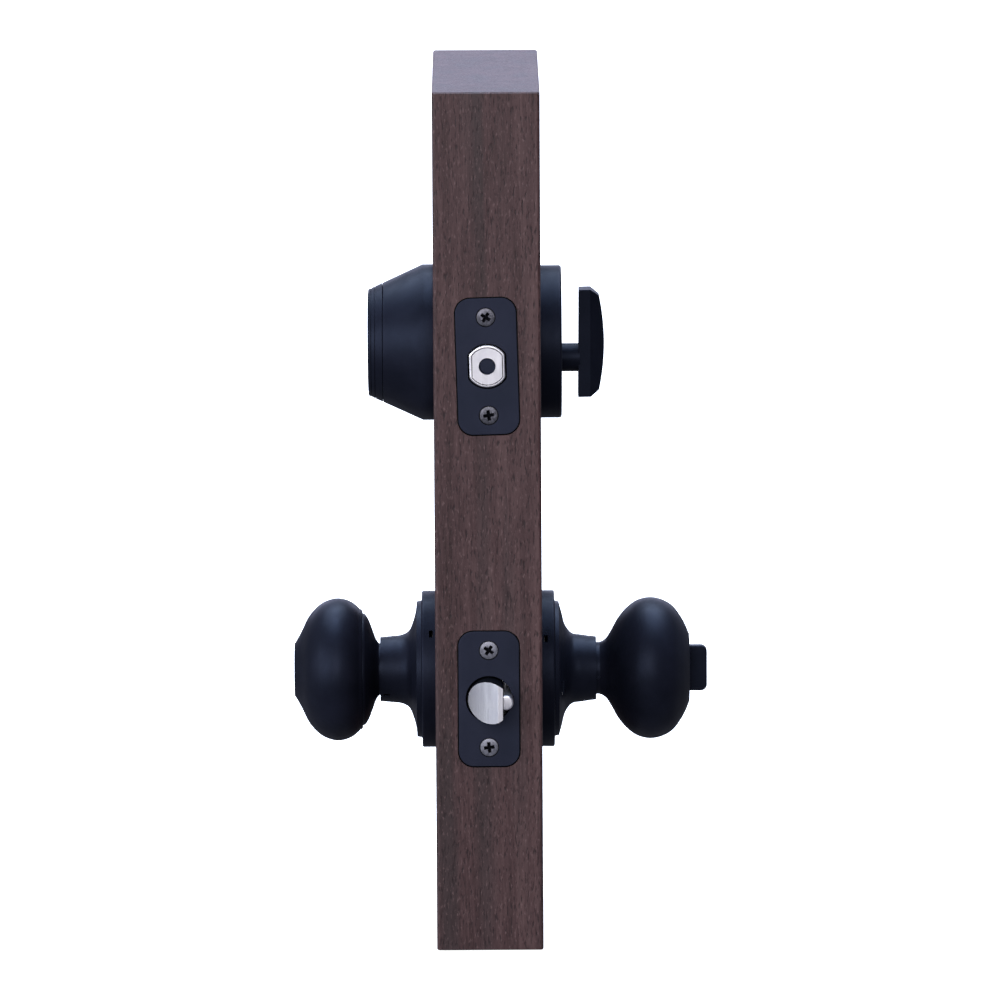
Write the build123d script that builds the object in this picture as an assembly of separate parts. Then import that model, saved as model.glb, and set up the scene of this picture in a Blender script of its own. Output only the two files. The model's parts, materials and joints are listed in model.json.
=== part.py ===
from build123d import *
import math
import os

# A keyed deadbolt above a keyed entry knob set, both fitted to a short block of door.
#
# Row frame: X runs through the door's thickness (-X is the keyed side, +X the thumbturn side),
# Y runs from the door's edge (-Y) to the block's back, and Z is up. The origin is the middle of
# the block's base. Millimetres.

os.makedirs("parts", exist_ok=True)

# ---------------------------------------------------------------- driving dimensions

DOOR_THICKNESS = 44.45
BLOCK_DEPTH = 152.4
BLOCK_HEIGHT = 360.3
BLOCK_EASE = 1.4
BACKSET = 69.85
KNOB_HEIGHT = 106.65
LOCK_SPACING = 139.7
CROSS_BORE_R = 27.0
EDGE_BORE_R = 12.7

PLATE_WIDTH = 25.4
PLATE_HEIGHT = 57.15
PLATE_THICKNESS = 1.8
PLATE_CORNER_R = 6.35
BACK_PLATE_THICKNESS = 1.4
PLATE_GAP = 0.4
PLATE_SCREW_Y = 20.5
DEADBOLT_PLATE_TILT = 1.5

PLUG_R = 6.35
PLUG_CLEARANCE = 0.08
PIN_R = 1.40
CHAMBER_R = 1.46
PIN_COUNT = 5
PIN_PITCH = 3.96
CYLINDER_DROP = 6.75

BOLT_THROW = 25.4
BOLT_R = 8.875
BOLT_HALF_WIDTH = 7.45
BOLT_CORNER_R = 1.8
THUMBTURN_SWING = 90.0
LATCH_THROW = 12.7
LATCH_R = 8.7
LATCH_FLAT_X = 5.75
HUB_EAR_R = 11.0

TAILPIECE_WIDTH = 6.0
TAILPIECE_THICKNESS = 2.0
RUNNING_GAP = 0.08

# ---------------------------------------------------------------- derived places

DEADBOLT_HEIGHT = KNOB_HEIGHT + LOCK_SPACING
EDGE_Y = -BLOCK_DEPTH / 2
AXIS_Y = EDGE_Y + BACKSET
FACE_X = DOOR_THICKNESS / 2
HUB_DEPTH = -BACKSET
KNOB_SWING = 2 * math.degrees(math.asin(LATCH_THROW / 2 / HUB_EAR_R))


def outer_side(height):
    """Plane on the keyed face at a lock's axis: local z outwards, local y up."""
    return Plane(origin=(-FACE_X, AXIS_Y, height), x_dir=(0, -1, 0), z_dir=(-1, 0, 0))


def inner_side(height):
    """Plane on the thumbturn face at a lock's axis: local z outwards, local y up."""
    return Plane(origin=(FACE_X, AXIS_Y, height), x_dir=(0, 1, 0), z_dir=(1, 0, 0))


def door_edge(height, tilt=0.0):
    """Plane on the door's edge at a lock's height: local z out of the door, local y up."""
    lean = math.radians(tilt)
    return Plane(origin=(0, EDGE_Y, height), x_dir=(math.cos(lean), 0, math.sin(lean)), z_dir=(0, -1, 0))


# ---------------------------------------------------------------- shape helpers


def save(name, plane, *solids):
    """Place solids drawn in a plane's own axes and write them as one node."""
    placed = [plane * solid for solid in solids]
    shape = placed[0] if len(placed) == 1 else Compound(children=placed)
    export_step(shape, f"parts/{name}.step")


def disc(radius, low, high, x=0.0, y=0.0):
    """Cylinder along local z between two heights."""
    height = high - low
    return Pos(x, y, low + height / 2) * Cylinder(radius, height)


def block(x0, x1, y0, y1, z0, z1):
    """Box between two corners."""
    centre = ((x0 + x1) / 2, (y0 + y1) / 2, (z0 + z1) / 2)
    return Pos(*centre) * Box(x1 - x0, y1 - y0, z1 - z0)


def turned(points):
    """Solid of revolution about local z from a closed outline of (radius, height) points."""
    outline = Polyline(*[(r, 0, z) for r, z in points], close=True)
    return revolve(make_face(outline), Axis.Z)


def turned_curve(curve, straight):
    """Solid of revolution: a smooth curve of (radius, height) points closed by straight runs."""
    spline = Spline(*[(r, 0, z) for r, z in curve])
    rest = Polyline(*[(r, 0, z) for r, z in [curve[-1], *straight, curve[0]]])
    return revolve(make_face([spline, rest]), Axis.Z)


def rounded_plate(width, height, corner, low, high):
    """Plate with rounded corners, lying across local z."""
    return Pos(0, 0, low) * extrude(RectangleRounded(width, height, corner), high - low)


def flat_bar(width, thickness, low, high, x=0.0, y=0.0):
    """Upright flat bar along local z."""
    return block(x - thickness / 2, x + thickness / 2, y - width / 2, y + width / 2, low, high)


def phillips_recess(head_top, across, depth):
    """Cross-shaped driver recess cut down from a screw head's top."""
    wing = block(-across / 2, across / 2, -0.5, 0.5, head_top - depth, head_top + 0.1)
    return wing + Rot(0, 0, 90) * wing


def coil(radius, wire, low, high, turns):
    """Closed stack of rings that stands for a coil spring along local z."""
    tube = disc(radius + wire / 2, low, high) - disc(radius - wire / 2, low, high)
    pitch = (high - low) / turns
    for turn in range(1, turns):
        tube -= Pos(0, 0, low + turn * pitch) * Torus(radius + wire / 2, 0.18)
    return tube


# ---------------------------------------------------------------- the block of door


def door_block():
    body = Pos(0, 0, BLOCK_HEIGHT / 2) * Box(DOOR_THICKNESS, BLOCK_DEPTH, BLOCK_HEIGHT)
    body = fillet(body.edges().filter_by(Axis.Z), BLOCK_EASE)
    body = chamfer(body.faces().sort_by(Axis.Z)[-1].edges(), 0.6)
    body = chamfer(body.faces().sort_by(Axis.Z)[0].edges(), 0.4)
    for height, tilt in ((KNOB_HEIGHT, 0.0), (DEADBOLT_HEIGHT, DEADBOLT_PLATE_TILT)):
        cross = disc(CROSS_BORE_R, -DOOR_THICKNESS - 1, 1)
        body -= outer_side(height) * cross
        edge = door_edge(height, tilt)
        body -= edge * disc(EDGE_BORE_R, -BACKSET, 1)
        depth = PLATE_THICKNESS + BACK_PLATE_THICKNESS + 0.1
        mortise = rounded_plate(
            PLATE_WIDTH + 2 * PLATE_GAP, PLATE_HEIGHT + 2 * PLATE_GAP, PLATE_CORNER_R + PLATE_GAP, -depth, 1
        )
        body -= edge * mortise
        for side in (-1, 1):
            body -= edge * disc(1.65, -22, 0, y=side * PLATE_SCREW_Y)
    save("door_block", Plane.XY, body)


# ---------------------------------------------------------------- faceplates and their screws


def face_plate(name, edge, opening):
    plate = rounded_plate(PLATE_WIDTH, PLATE_HEIGHT, PLATE_CORNER_R, -PLATE_THICKNESS, 0)
    plate = chamfer(plate.faces().sort_by(Axis.Z)[-1].outer_wire().edges(), 0.2)
    plate -= opening
    for side in (-1, 1):
        plate -= screw_clearance(side)
    save(name, edge, plate)


def screw_clearance(side):
    """Countersunk hole through a faceplate."""
    sink = turned([(0, 0.1), (4.1, 0.1), (4.1, -0.35), (1.9, -2.5), (1.9, -3.6), (0, -3.6)])
    return Pos(0, side * PLATE_SCREW_Y, 0) * sink


def back_plate(name, edge, hole_r):
    low = -PLATE_THICKNESS - BACK_PLATE_THICKNESS
    plate = rounded_plate(PLATE_WIDTH - 0.9, PLATE_HEIGHT - 0.9, PLATE_CORNER_R - 0.4, low, -PLATE_THICKNESS)
    plate -= disc(hole_r, low - 1, 0)
    for side in (-1, 1):
        plate -= screw_clearance(side)
    save(name, edge, plate)


def face_plate_screws(name, edge):
    screws = []
    for side in (-1, 1):
        screw = turned([(0, -0.05), (3.85, -0.05), (3.85, -0.35), (1.55, -2.6), (1.55, -17.5), (0, -20)])
        screw -= phillips_recess(-0.05, 4.2, 1.6)
        screws.append(Pos(0, side * PLATE_SCREW_Y, 0) * Rot(0, 0, 32 + 25 * side) * screw)
    save(name, edge, *screws)


# ---------------------------------------------------------------- pin tumbler cylinders


def pin_places(front, spacing=PIN_PITCH):
    """Heights of the pin stacks behind a plug's front face."""
    return [front - 6.0 - spacing * index for index in range(PIN_COUNT)]


def across(x, y, z, radius, length):
    """Cylinder standing along local y from y to y + length."""
    return Pos(x, y + length / 2, z) * Rot(90, 0, 0) * Cylinder(radius, length)


def plug(front, back):
    """Key plug with its keyway, pin chambers and the pocket for a tailpiece."""
    body = disc(PLUG_R, back, front)
    body -= turned([(PLUG_R - 0.9, back + 0.8), (9, back + 0.8), (9, back + 1.8), (PLUG_R - 0.9, back + 1.8)])
    body -= block(-1.1, 1.1, -4.2, 4.3, back + 4.6, front + 1)
    body -= block(-0.5, 0.5, -5.5, -4.2, back + 4.6, front + 1)
    body -= block(-2.0, -1.1, -0.8, 0.8, back + 4.6, front + 1)
    for place in pin_places(front):
        body -= across(0, 0, place, CHAMBER_R, PLUG_R + 1)
    body -= disc(3.5, back - 1, back + 3.5)
    return body


def plug_clip(back):
    """Spring clip in the groove behind the cylinder body."""
    ring = disc(7.9, back + 0.9, back + 1.7) - disc(PLUG_R - 0.85, back, back + 3)
    return ring - block(-3.2, 3.2, -9, 0, back, back + 3)


def key_pins(front):
    """Key pins, cut as if by the right key, with their tops at the shear line."""
    lengths = (5.0, 4.1, 5.6, 4.6, 5.3)
    top = PLUG_R - 0.2
    pins = []
    for place, length in zip(pin_places(front), lengths):
        pin = turned([(0, 0), (PIN_R - 0.8, 0), (PIN_R, 0.9), (PIN_R, length), (0, length)])
        pins.append(Pos(0, top - length, place) * Rot(-90, 0, 0) * pin)
    return pins


def driver_pins(front):
    """Driver pins, standing just above the shear line."""
    return [across(0, PLUG_R + 0.15, place, PIN_R, 4.0) for place in pin_places(front)]


def pin_springs(front):
    """One small spring above each driver pin."""
    springs = []
    for place in pin_places(front):
        spring = coil(1.0, 0.35, 0, 4.4, 6)
        springs.append(Pos(0, PLUG_R + 4.3, place) * Rot(-90, 0, 0) * spring)
    return springs


def chambers(front):
    """Cutters for the driver chambers above a plug."""
    return [across(0, PLUG_R - 1, place, CHAMBER_R, 9.9) for place in pin_places(front)]


# ---------------------------------------------------------------- deadbolt, keyed side

DB_FACE = 27.3
DB_PLUG_BACK = -3.0
DB_SCREW_X = 17.0
HOUSING_R = 32.75
RING_JOINT = 21.5


def cone_radius(height):
    """Radius of the keyed side's cone at a height above the door."""
    return HOUSING_R - (height - 4.7) * (HOUSING_R - 22.3) / (27.5 - 4.7)


def deadbolt_outer_housing():
    joint = RING_JOINT - 0.05
    shell = turned([
        (30.0, 0), (HOUSING_R, 0), (HOUSING_R, 4.7), (cone_radius(joint), joint),
        (cone_radius(joint) - 2.4, joint), (29.9, 4.7),
    ])
    save("deadbolt_outer_housing", outer_side(DEADBOLT_HEIGHT), shell)


def deadbolt_front_ring():
    joint = RING_JOINT + 0.05
    rim = cone_radius(joint)
    ring = turned([
        (rim - 2.3, joint), (rim, joint), (22.3, 27.5), (20.0, 27.75), (16.8, 27.8), (16.8, 24.9),
        (rim - 2.3, 24.9),
    ])
    for height in (24.7, 26.3):
        ring -= Pos(0, 0, height) * Torus(cone_radius(height) + 0.08, 0.22)
    save("deadbolt_front_ring", outer_side(DEADBOLT_HEIGHT), ring)


def deadbolt_cylinder_body():
    body = disc(18.5, -1, 24.8) + disc(16.6, 24.8, 27.2)
    for side in (-1, 1):
        body += disc(4.4, -1, 14, x=side * DB_SCREW_X)
    body -= disc(PLUG_R + PLUG_CLEARANCE, -2, 28, y=-CYLINDER_DROP)
    for cutter in chambers(DB_FACE):
        body -= Pos(0, -CYLINDER_DROP, 0) * cutter
    for side in (-1, 1):
        body -= disc(2.1, -2, 12.5, x=side * DB_SCREW_X)
    save("deadbolt_cylinder_body", outer_side(DEADBOLT_HEIGHT), body)


def deadbolt_cylinder():
    plane = outer_side(DEADBOLT_HEIGHT - CYLINDER_DROP)
    save("deadbolt_plug", plane, plug(DB_FACE, DB_PLUG_BACK))
    save("deadbolt_plug_clip", plane, plug_clip(DB_PLUG_BACK))
    save("deadbolt_key_pins", plane, *key_pins(DB_FACE))
    save("deadbolt_driver_pins", plane, *driver_pins(DB_FACE))
    save("deadbolt_pin_springs", plane, *pin_springs(DB_FACE))


# ---------------------------------------------------------------- deadbolt, thumbturn side

ROSE_R = 32.1
ROSE_DEPTH = 9.1
STEM_R = 5.95


def deadbolt_inner_plate():
    plate = disc(28.5, 0, 1.5)
    plate -= disc(STEM_R + 0.6, -1, 2, y=-CYLINDER_DROP)
    for side in (-1, 1):
        plate -= disc(2.4, -1, 2, x=side * DB_SCREW_X)
        plate -= disc(1.6, -1, 2, y=side * 21)
    save("deadbolt_inner_plate", inner_side(DEADBOLT_HEIGHT), plate)


def deadbolt_inner_rose():
    cup = turned([
        (0, 7.3), (29.9, 7.3), (29.9, 0), (ROSE_R, 0), (ROSE_R, 8.1), (31.8, 8.8), (31.1, ROSE_DEPTH),
        (0, ROSE_DEPTH),
    ])
    for side in (-1, 1):
        cup += disc(5.0, 1.7, 8, x=side * DB_SCREW_X)
    cup += disc(STEM_R + 2.2, 4.6, 8, y=-CYLINDER_DROP)
    cup -= disc(STEM_R + RUNNING_GAP, 0, 10, y=-CYLINDER_DROP)
    for side in (-1, 1):
        seat = turned([(0, 10), (4.4, 10), (4.4, 8.7), (2.4, 6.3), (2.4, 0), (0, 0)])
        cup -= Pos(side * DB_SCREW_X, 0, 0) * seat
    save("deadbolt_inner_rose", inner_side(DEADBOLT_HEIGHT), cup)


def thumbturn_lever():
    """Lever of the thumbturn: straight flanks, a bevelled crown and cut corners."""
    side = Polyline((-23.0, 16.0), (22.5, 16.4), (22.6, 21.4), (19.9, 24.9))
    crown = ThreePointArc((19.9, 24.9), (0, 27.05), (-20.1, 24.9))
    foot = Polyline((-20.1, 24.9), (-22.9, 21.4), (-23.0, 16.0))
    outline = Plane.YZ * make_face([side, crown, foot])
    lever = extrude(outline, 6.0, both=True)
    right = ((5.4, 15.9), (5.6, 21.2), (3.3, 25.2), (2.2, 28))
    left = [(-x, height) for x, height in reversed(right)]
    section = Plane.XZ * make_face(Polyline(*right, *left, close=True))
    lever &= extrude(section, 30, both=True)
    return fillet(lever.edges(), 0.7)


def deadbolt_thumbturn():
    stem = disc(STEM_R, 2.0, 16.6, y=-CYLINDER_DROP)
    stem -= turned([(4.9, 2.9), (8, 2.9), (8, 3.9), (4.9, 3.9)]).moved(Location((0, -CYLINDER_DROP, 0)))
    turn = thumbturn_lever() + stem
    turn -= flat_bar(TAILPIECE_WIDTH + 0.1, TAILPIECE_THICKNESS + 0.1, 0, 10, y=-CYLINDER_DROP)
    save("deadbolt_thumbturn", inner_side(DEADBOLT_HEIGHT), turn)


def deadbolt_thumbturn_clip():
    clip = disc(8.0, 3.0, 3.8) - disc(4.95, 2, 5) - block(-3.6, 3.6, -9, 0, 2, 5)
    save("deadbolt_thumbturn_clip", inner_side(DEADBOLT_HEIGHT - CYLINDER_DROP), clip)


def deadbolt_thumbturn_washer():
    washer = disc(8.0, 3.9, 4.5) - disc(STEM_R + 0.3, 3, 5)
    save("deadbolt_thumbturn_washer", inner_side(DEADBOLT_HEIGHT - CYLINDER_DROP), washer)


def deadbolt_mounting_screws():
    screws = []
    end = -DOOR_THICKNESS - 11
    for side in (-1, 1):
        screw = turned([(0, 9.2), (2.6, 9.1), (4.3, 8.65), (2.05, 6.35), (2.05, end), (0, end)])
        screw -= phillips_recess(9.2, 4.6, 1.9)
        screws.append(Pos(side * DB_SCREW_X, 0, 0) * Rot(0, 0, 20 + 30 * side) * screw)
    save("deadbolt_mounting_screws", inner_side(DEADBOLT_HEIGHT), *screws)


def deadbolt_tailpiece():
    low = -DOOR_THICKNESS - 0.2
    bar = flat_bar(TAILPIECE_WIDTH, TAILPIECE_THICKNESS, low, 9.0)
    save("deadbolt_tailpiece", inner_side(DEADBOLT_HEIGHT - CYLINDER_DROP), bar)


# ---------------------------------------------------------------- deadbolt, in the door's edge

CASE_R = 11.9
CHEEK_X = 5.0
CHEEK_THICKNESS = 1.0
CHEEK_Y = 11.1
DRIVE_PIN_R = 1.5
DRIVE_PIN_Y = BOLT_THROW / 2 - CYLINDER_DROP
DRIVE_PIN_DEPTH = HUB_DEPTH - BOLT_THROW / 2
FORK_SLOT = 2.8
FORK_R = 20.0
LINK_LOW = 3.2
LINK_HIGH = 7.9


def bolt_section(grow=0.0):
    """Bolt's round section with its two flats and eased corners."""
    section = Circle(BOLT_R + grow) & Rectangle(2 * (BOLT_HALF_WIDTH + grow), 40)
    return fillet(section.vertices(), BOLT_CORNER_R + grow)


def deadbolt_bolt():
    head = Pos(0, 0, -43.5) * extrude(bolt_section(), 43.6)
    head = chamfer(head.faces().sort_by(Axis.Z)[-1].edges(), 0.9)
    head -= disc(3.5, -30, 1)
    slot = block(-4.1, 4.1, LINK_LOW - 0.1, LINK_HIGH + 0.1, -50, -33.1)
    head -= Rot(0, 0, -DEADBOLT_PLATE_TILT) * slot
    save("deadbolt_bolt", door_edge(DEADBOLT_HEIGHT, DEADBOLT_PLATE_TILT), head)


def deadbolt_bolt_insert():
    insert = disc(3.0, -29.9, -0.35) + disc(3.45, -29.9, -0.9)
    insert = chamfer(insert.faces().sort_by(Axis.Z)[-1].edges(), 0.3)
    save("deadbolt_bolt_insert", door_edge(DEADBOLT_HEIGHT), insert)


def deadbolt_link():
    """Clevis from the bolt back to the drive pin above the cam."""
    rear = DRIVE_PIN_DEPTH - 2.6
    link = block(-4, 4, LINK_LOW, LINK_HIGH, rear, -33.2)
    link -= block(-2.3, 2.3, LINK_LOW - 1, LINK_HIGH + 1, rear - 1, -49)
    pin = Pos(0, DRIVE_PIN_Y, DRIVE_PIN_DEPTH) * Rot(0, 90, 0) * Cylinder(DRIVE_PIN_R, 7)
    save("deadbolt_link", door_edge(DEADBOLT_HEIGHT), link + pin)


def deadbolt_cam():
    """Cam with a forked arm that carries the drive pin; drawn with the arm straight up."""
    arm = extrude(Pos(0, FORK_R / 2) * Rectangle(2 * (FORK_SLOT + 1.6), FORK_R), 1.8, both=True)
    barrel = Cylinder(4.0, 2 * (CHEEK_X + CHEEK_THICKNESS) + 0.4)
    slot = extrude(Pos(0, FORK_R / 2 + 5.6) * Rectangle(2 * FORK_SLOT, FORK_R), 3, both=True)
    cam = arm + barrel + Cylinder(4.9, 2 * CHEEK_X - 0.6) - slot
    cam = Rot(0, 0, -THUMBTURN_SWING / 2) * cam
    cam -= flat_bar(TAILPIECE_WIDTH + 0.12, TAILPIECE_THICKNESS + 0.12, -10, 10)
    middle = Plane(origin=(0, AXIS_Y, DEADBOLT_HEIGHT - CYLINDER_DROP), x_dir=(0, 1, 0), z_dir=(1, 0, 0))
    save("deadbolt_cam", middle, cam)


def bored_cheeks(rear, barrel_r, barrel_y, screw_offset, screw_r):
    """Two side cheeks behind a latch tube, with the holes for its hub and screws."""
    cheeks = None
    for side in (-1, 1):
        inner = side * CHEEK_X
        outer = side * (CHEEK_X + CHEEK_THICKNESS)
        cheek = block(min(inner, outer), max(inner, outer), -CHEEK_Y, CHEEK_Y, rear, -40)
        cheeks = cheek if cheeks is None else cheeks + cheek
    bores = [(barrel_r, barrel_y, HUB_DEPTH)]
    bores += [(screw_r, 0, HUB_DEPTH + side * screw_offset) for side in (-1, 1)]
    for radius, y, depth in bores:
        cheeks -= Pos(0, y, depth) * Rot(0, 90, 0) * Cylinder(radius, 30)
    return cheeks


def deadbolt_case():
    front = -PLATE_THICKNESS - BACK_PLATE_THICKNESS
    bore = disc(BOLT_R + 0.35, -45, 0)
    case = disc(CASE_R, -42.5, front) - bore
    case += bored_cheeks(-80.0, 4.0 + RUNNING_GAP, -CYLINDER_DROP, DB_SCREW_X, 2.5) - bore
    save("deadbolt_case", door_edge(DEADBOLT_HEIGHT), case)


def deadbolt_edge_parts():
    edge = door_edge(DEADBOLT_HEIGHT, DEADBOLT_PLATE_TILT)
    opening = Pos(0, 0, -5) * extrude(bolt_section(0.35), 10)
    face_plate("deadbolt_faceplate", edge, opening)
    back_plate("deadbolt_backplate", edge, BOLT_R + 0.35)
    face_plate_screws("deadbolt_faceplate_screws", edge)


# ---------------------------------------------------------------- knob set, roses and chassis

KNOB_ROSE_R = 33.05
BEARING_R = 11.0
BEARING_WALL = 1.2
CHASSIS_R = 28.5
KNOB_POST_X = 19.0
POST_R = 3.6
POST_END = -41.0
SPINDLE_ACROSS = 7.5
SPINDLE_BORE_R = 2.7
SPINDLE_END = -20.5
BAR_WIDTH = 4.0
BAR_THICKNESS = 1.8
BAR_END = 0.7 - FACE_X
OUTER_ROSE_FLARE = (
    (28.6, 8.1), (24.6, 8.5), (20.2, 9.65), (15.9, 11.8), (14.6, 14.3), (14.05, 18.5), (13.57, 23.6),
)
INNER_ROSE_FLARE = ((28.3, 7.45), (24.1, 8.6), (17.6, 10.6), (15.0, 12.9), (14.2, 17.0), (13.4, 23.2))
ROSE_WALL = 1.1


def rose_shell(flare, rim_height):
    """Thin pressed rose: a rim, a step and a flared neck."""
    step_r = flare[0][0]
    neck_r, neck_height = flare[-1]
    rim = [
        (0, neck_height), (0, 0), (KNOB_ROSE_R, 0), (KNOB_ROSE_R, rim_height - 0.6),
        (KNOB_ROSE_R - 0.7, rim_height), (step_r + 0.7, rim_height),
    ]
    outside = turned_curve(flare, rim)
    hollow = [(r - 0.8 * ROSE_WALL, z - ROSE_WALL) for r, z in flare[:-1]]
    hollow.append((neck_r - ROSE_WALL, neck_height + 1))
    hollow_rim = [
        (0, neck_height + 1), (0, -1), (KNOB_ROSE_R - ROSE_WALL, -1),
        (KNOB_ROSE_R - ROSE_WALL, rim_height - ROSE_WALL), (hollow[0][0], rim_height - ROSE_WALL),
    ]
    return outside - turned_curve(hollow, hollow_rim)


def knob_outer_rose():
    rose = rose_shell(OUTER_ROSE_FLARE, 5.9)
    rose -= block(20, 40, 18.4, 21.0, 1.2, 2.8)
    rose -= block(8, 14, -10.4, -8.8, 19.6, 22.2)
    save("knob_outer_rose", outer_side(KNOB_HEIGHT), rose)


def knob_inner_rose():
    rose = rose_shell(INNER_ROSE_FLARE, 5.6)
    rose -= block(-40, -20, 16.4, 19.0, 1.0, 2.6)
    rose -= block(-23.0, -19.8, -7.5, -1.7, 5, 12)
    save("knob_inner_rose", inner_side(KNOB_HEIGHT), rose)


def knob_rose_clip():
    """Spring catch that shows through the slot in the inner rose."""
    clip = block(-22.8, -20.0, -7.3, -4.6, 1.5, 8.7) + block(-22.8, -20.0, -7.3, -1.9, 7.4, 8.7)
    save("knob_rose_clip", inner_side(KNOB_HEIGHT), clip)


def bearing_plate(top):
    """Plate over the cross bore with the tube that a knob's shank turns in."""
    plate = disc(CHASSIS_R, 0, 1.5) + disc(BEARING_R + BEARING_WALL, 0, top)
    return plate - disc(BEARING_R + RUNNING_GAP, -1, top + 1)


def knob_outer_chassis():
    chassis = bearing_plate(20.5)
    for side in (-1, 1):
        chassis += disc(POST_R, POST_END, 0.5, x=side * KNOB_POST_X)
        chassis -= disc(2.1, POST_END - 1, POST_END + 13, x=side * KNOB_POST_X)
    save("knob_outer_chassis", outer_side(KNOB_HEIGHT), chassis)


def knob_inner_plate():
    plate = bearing_plate(20.3)
    for side in (-1, 1):
        plate -= disc(2.4, -1, 2, x=side * KNOB_POST_X)
        plate -= disc(2.0, -1, 2, y=side * 21)
    save("knob_inner_plate", inner_side(KNOB_HEIGHT), plate)


def knob_mounting_screws():
    screws = []
    end = -DOOR_THICKNESS - POST_END - 11
    for side in (-1, 1):
        screw = turned([(0, 4.0), (2.6, 3.9), (4.1, 2.9), (4.1, 1.55), (2.05, 1.55), (2.05, end), (0, end)])
        screw -= phillips_recess(4.0, 4.6, 1.7)
        screws.append(Pos(side * KNOB_POST_X, 0, 0) * screw)
    save("knob_mounting_screws", inner_side(KNOB_HEIGHT), *screws)


def knob_return_spring(name, plane):
    spring = coil(13.4, 1.2, 1.6, 6.4, 4)
    save(name, plane, spring)


# ---------------------------------------------------------------- knob set, the keyed knob

KNOB_PLUG_FRONT = 59.0
KNOB_PLUG_BACK = 31.0
SHANK_BORE_R = 8.0


def outer_knob_back():
    """Cone behind the keyed knob with its shank."""
    back = turned([
        (SHANK_BORE_R, 2), (BEARING_R, 2), (BEARING_R, 24.3), (11.8, 24.6), (17.0, 26.9), (22.6, 29.4),
        (23.7, 30.7), (23.7, 39.9), (22.2, 39.9), (22.2, 31.4), (16.2, 28.6), (11.5, 26.4), (SHANK_BORE_R, 26.4),
    ])
    save("outer_knob_back", outer_side(KNOB_HEIGHT), back)


def outer_knob_shell():
    """Pressed front of the keyed knob, open at the middle for the key cylinder."""
    skin = ((25.6, 32.2), (29.0, 36.6), (30.1, 41.2), (28.4, 47.6), (23.6, 52.9), (15.5, 57.2), (11.4, 59.5))
    outside = turned_curve(skin, [(10.9, 59.8), (0, 59.8), (0, 32.2)])
    hollow = (
        (24.2, 31.0), (27.5, 36.9), (28.6, 41.2), (27.0, 47.0), (22.5, 51.8), (14.8, 55.7), (12.4, 56.8),
    )
    inside = turned_curve(hollow, [(0, 56.8), (0, 31.0)])
    shell = outside - inside - disc(10.8, 50, 61)
    shell += disc(29.0, 40.0, 41.4) - disc(20.0, 39, 42)
    save("outer_knob_shell", outer_side(KNOB_HEIGHT), shell)


def knob_cylinder_body():
    """Key cylinder held in the knob: a round body, the pin tower and a round face."""
    body = disc(8.4, 33.0, 57.5) + disc(10.7, 57.3, 59.3) + block(-4.2, 4.2, 0, 16.4, 34.2, 54.6)
    body -= disc(PLUG_R + PLUG_CLEARANCE, 30, 61)
    for cutter in chambers(KNOB_PLUG_FRONT):
        body -= cutter
    save("knob_cylinder_body", outer_side(KNOB_HEIGHT), body)


def knob_cylinder():
    plane = outer_side(KNOB_HEIGHT)
    save("knob_plug", plane, plug(KNOB_PLUG_FRONT, KNOB_PLUG_BACK))
    save("knob_plug_clip", plane, plug_clip(KNOB_PLUG_BACK))
    save("knob_key_pins", plane, *key_pins(KNOB_PLUG_FRONT))
    save("knob_driver_pins", plane, *driver_pins(KNOB_PLUG_FRONT))
    save("knob_pin_springs", plane, *pin_springs(KNOB_PLUG_FRONT))
    tail = flat_bar(BAR_WIDTH, BAR_THICKNESS, BAR_END, KNOB_PLUG_BACK + 3)
    tail += disc(3.4, KNOB_PLUG_BACK + 0.3, KNOB_PLUG_BACK + 2.4)
    save("knob_key_tailpiece", plane, tail)


def spindle(name, plane):
    """Square drive tube from a knob's shank into the latch hub."""
    tube = disc(SHANK_BORE_R - 0.05, 3, 5)
    half = SPINDLE_ACROSS / 2
    tube += block(-half, half, -half, half, SPINDLE_END, 5)
    tube -= disc(SPINDLE_BORE_R, SPINDLE_END - 1, 6)
    save(name, plane, tube)


# ---------------------------------------------------------------- knob set, the thumb knob

KNOB_FRONT = 62.6
BUTTON_TOP = 70.1


def inner_knob():
    skin = (
        (11.0, 24.5), (12.3, 27.0), (15.4, 29.2), (20.9, 32.3), (25.4, 36.0), (28.6, 40.4), (29.9, 46.1),
        (28.9, 51.2), (26.6, 55.2), (22.0, 58.9), (15.2, 62.2),
    )
    outside = turned_curve(skin, [(14.5, KNOB_FRONT), (0, KNOB_FRONT), (0, 2), (BEARING_R, 2)])
    cavity = turned([
        (0, 1), (SHANK_BORE_R, 1), (SHANK_BORE_R, 28.5), (13.6, 31.6), (19.0, 34.6), (24.0, 38.4), (27.0, 43.0),
        (27.4, 47.0), (26.0, 52.0), (21.0, 57.0), (14.4, 60.2), (0, 60.2),
    ])
    knob = outside - cavity
    knob -= disc(5.0 + RUNNING_GAP, 55, 70)
    knob -= disc(10.1, KNOB_FRONT - 1.2, 70)
    knob -= Pos(-10, -2, 24.0) * Rot(0, 90, 0) * Cylinder(0.9, 8)
    save("inner_knob", inner_side(KNOB_HEIGHT), knob)


def inner_knob_catch():
    """Spring catch in the thumb knob's shank, its round nose just under the surface of the neck."""
    nose = Pos(-8.6, -2, 24.0) * Rot(0, 90, 0) * Cylinder(0.82, 3.6)
    leaf = block(-7.1, -6.5, -3.2, -0.8, 10, 26)
    save("inner_knob_catch", inner_side(KNOB_HEIGHT), nose + leaf)


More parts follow.
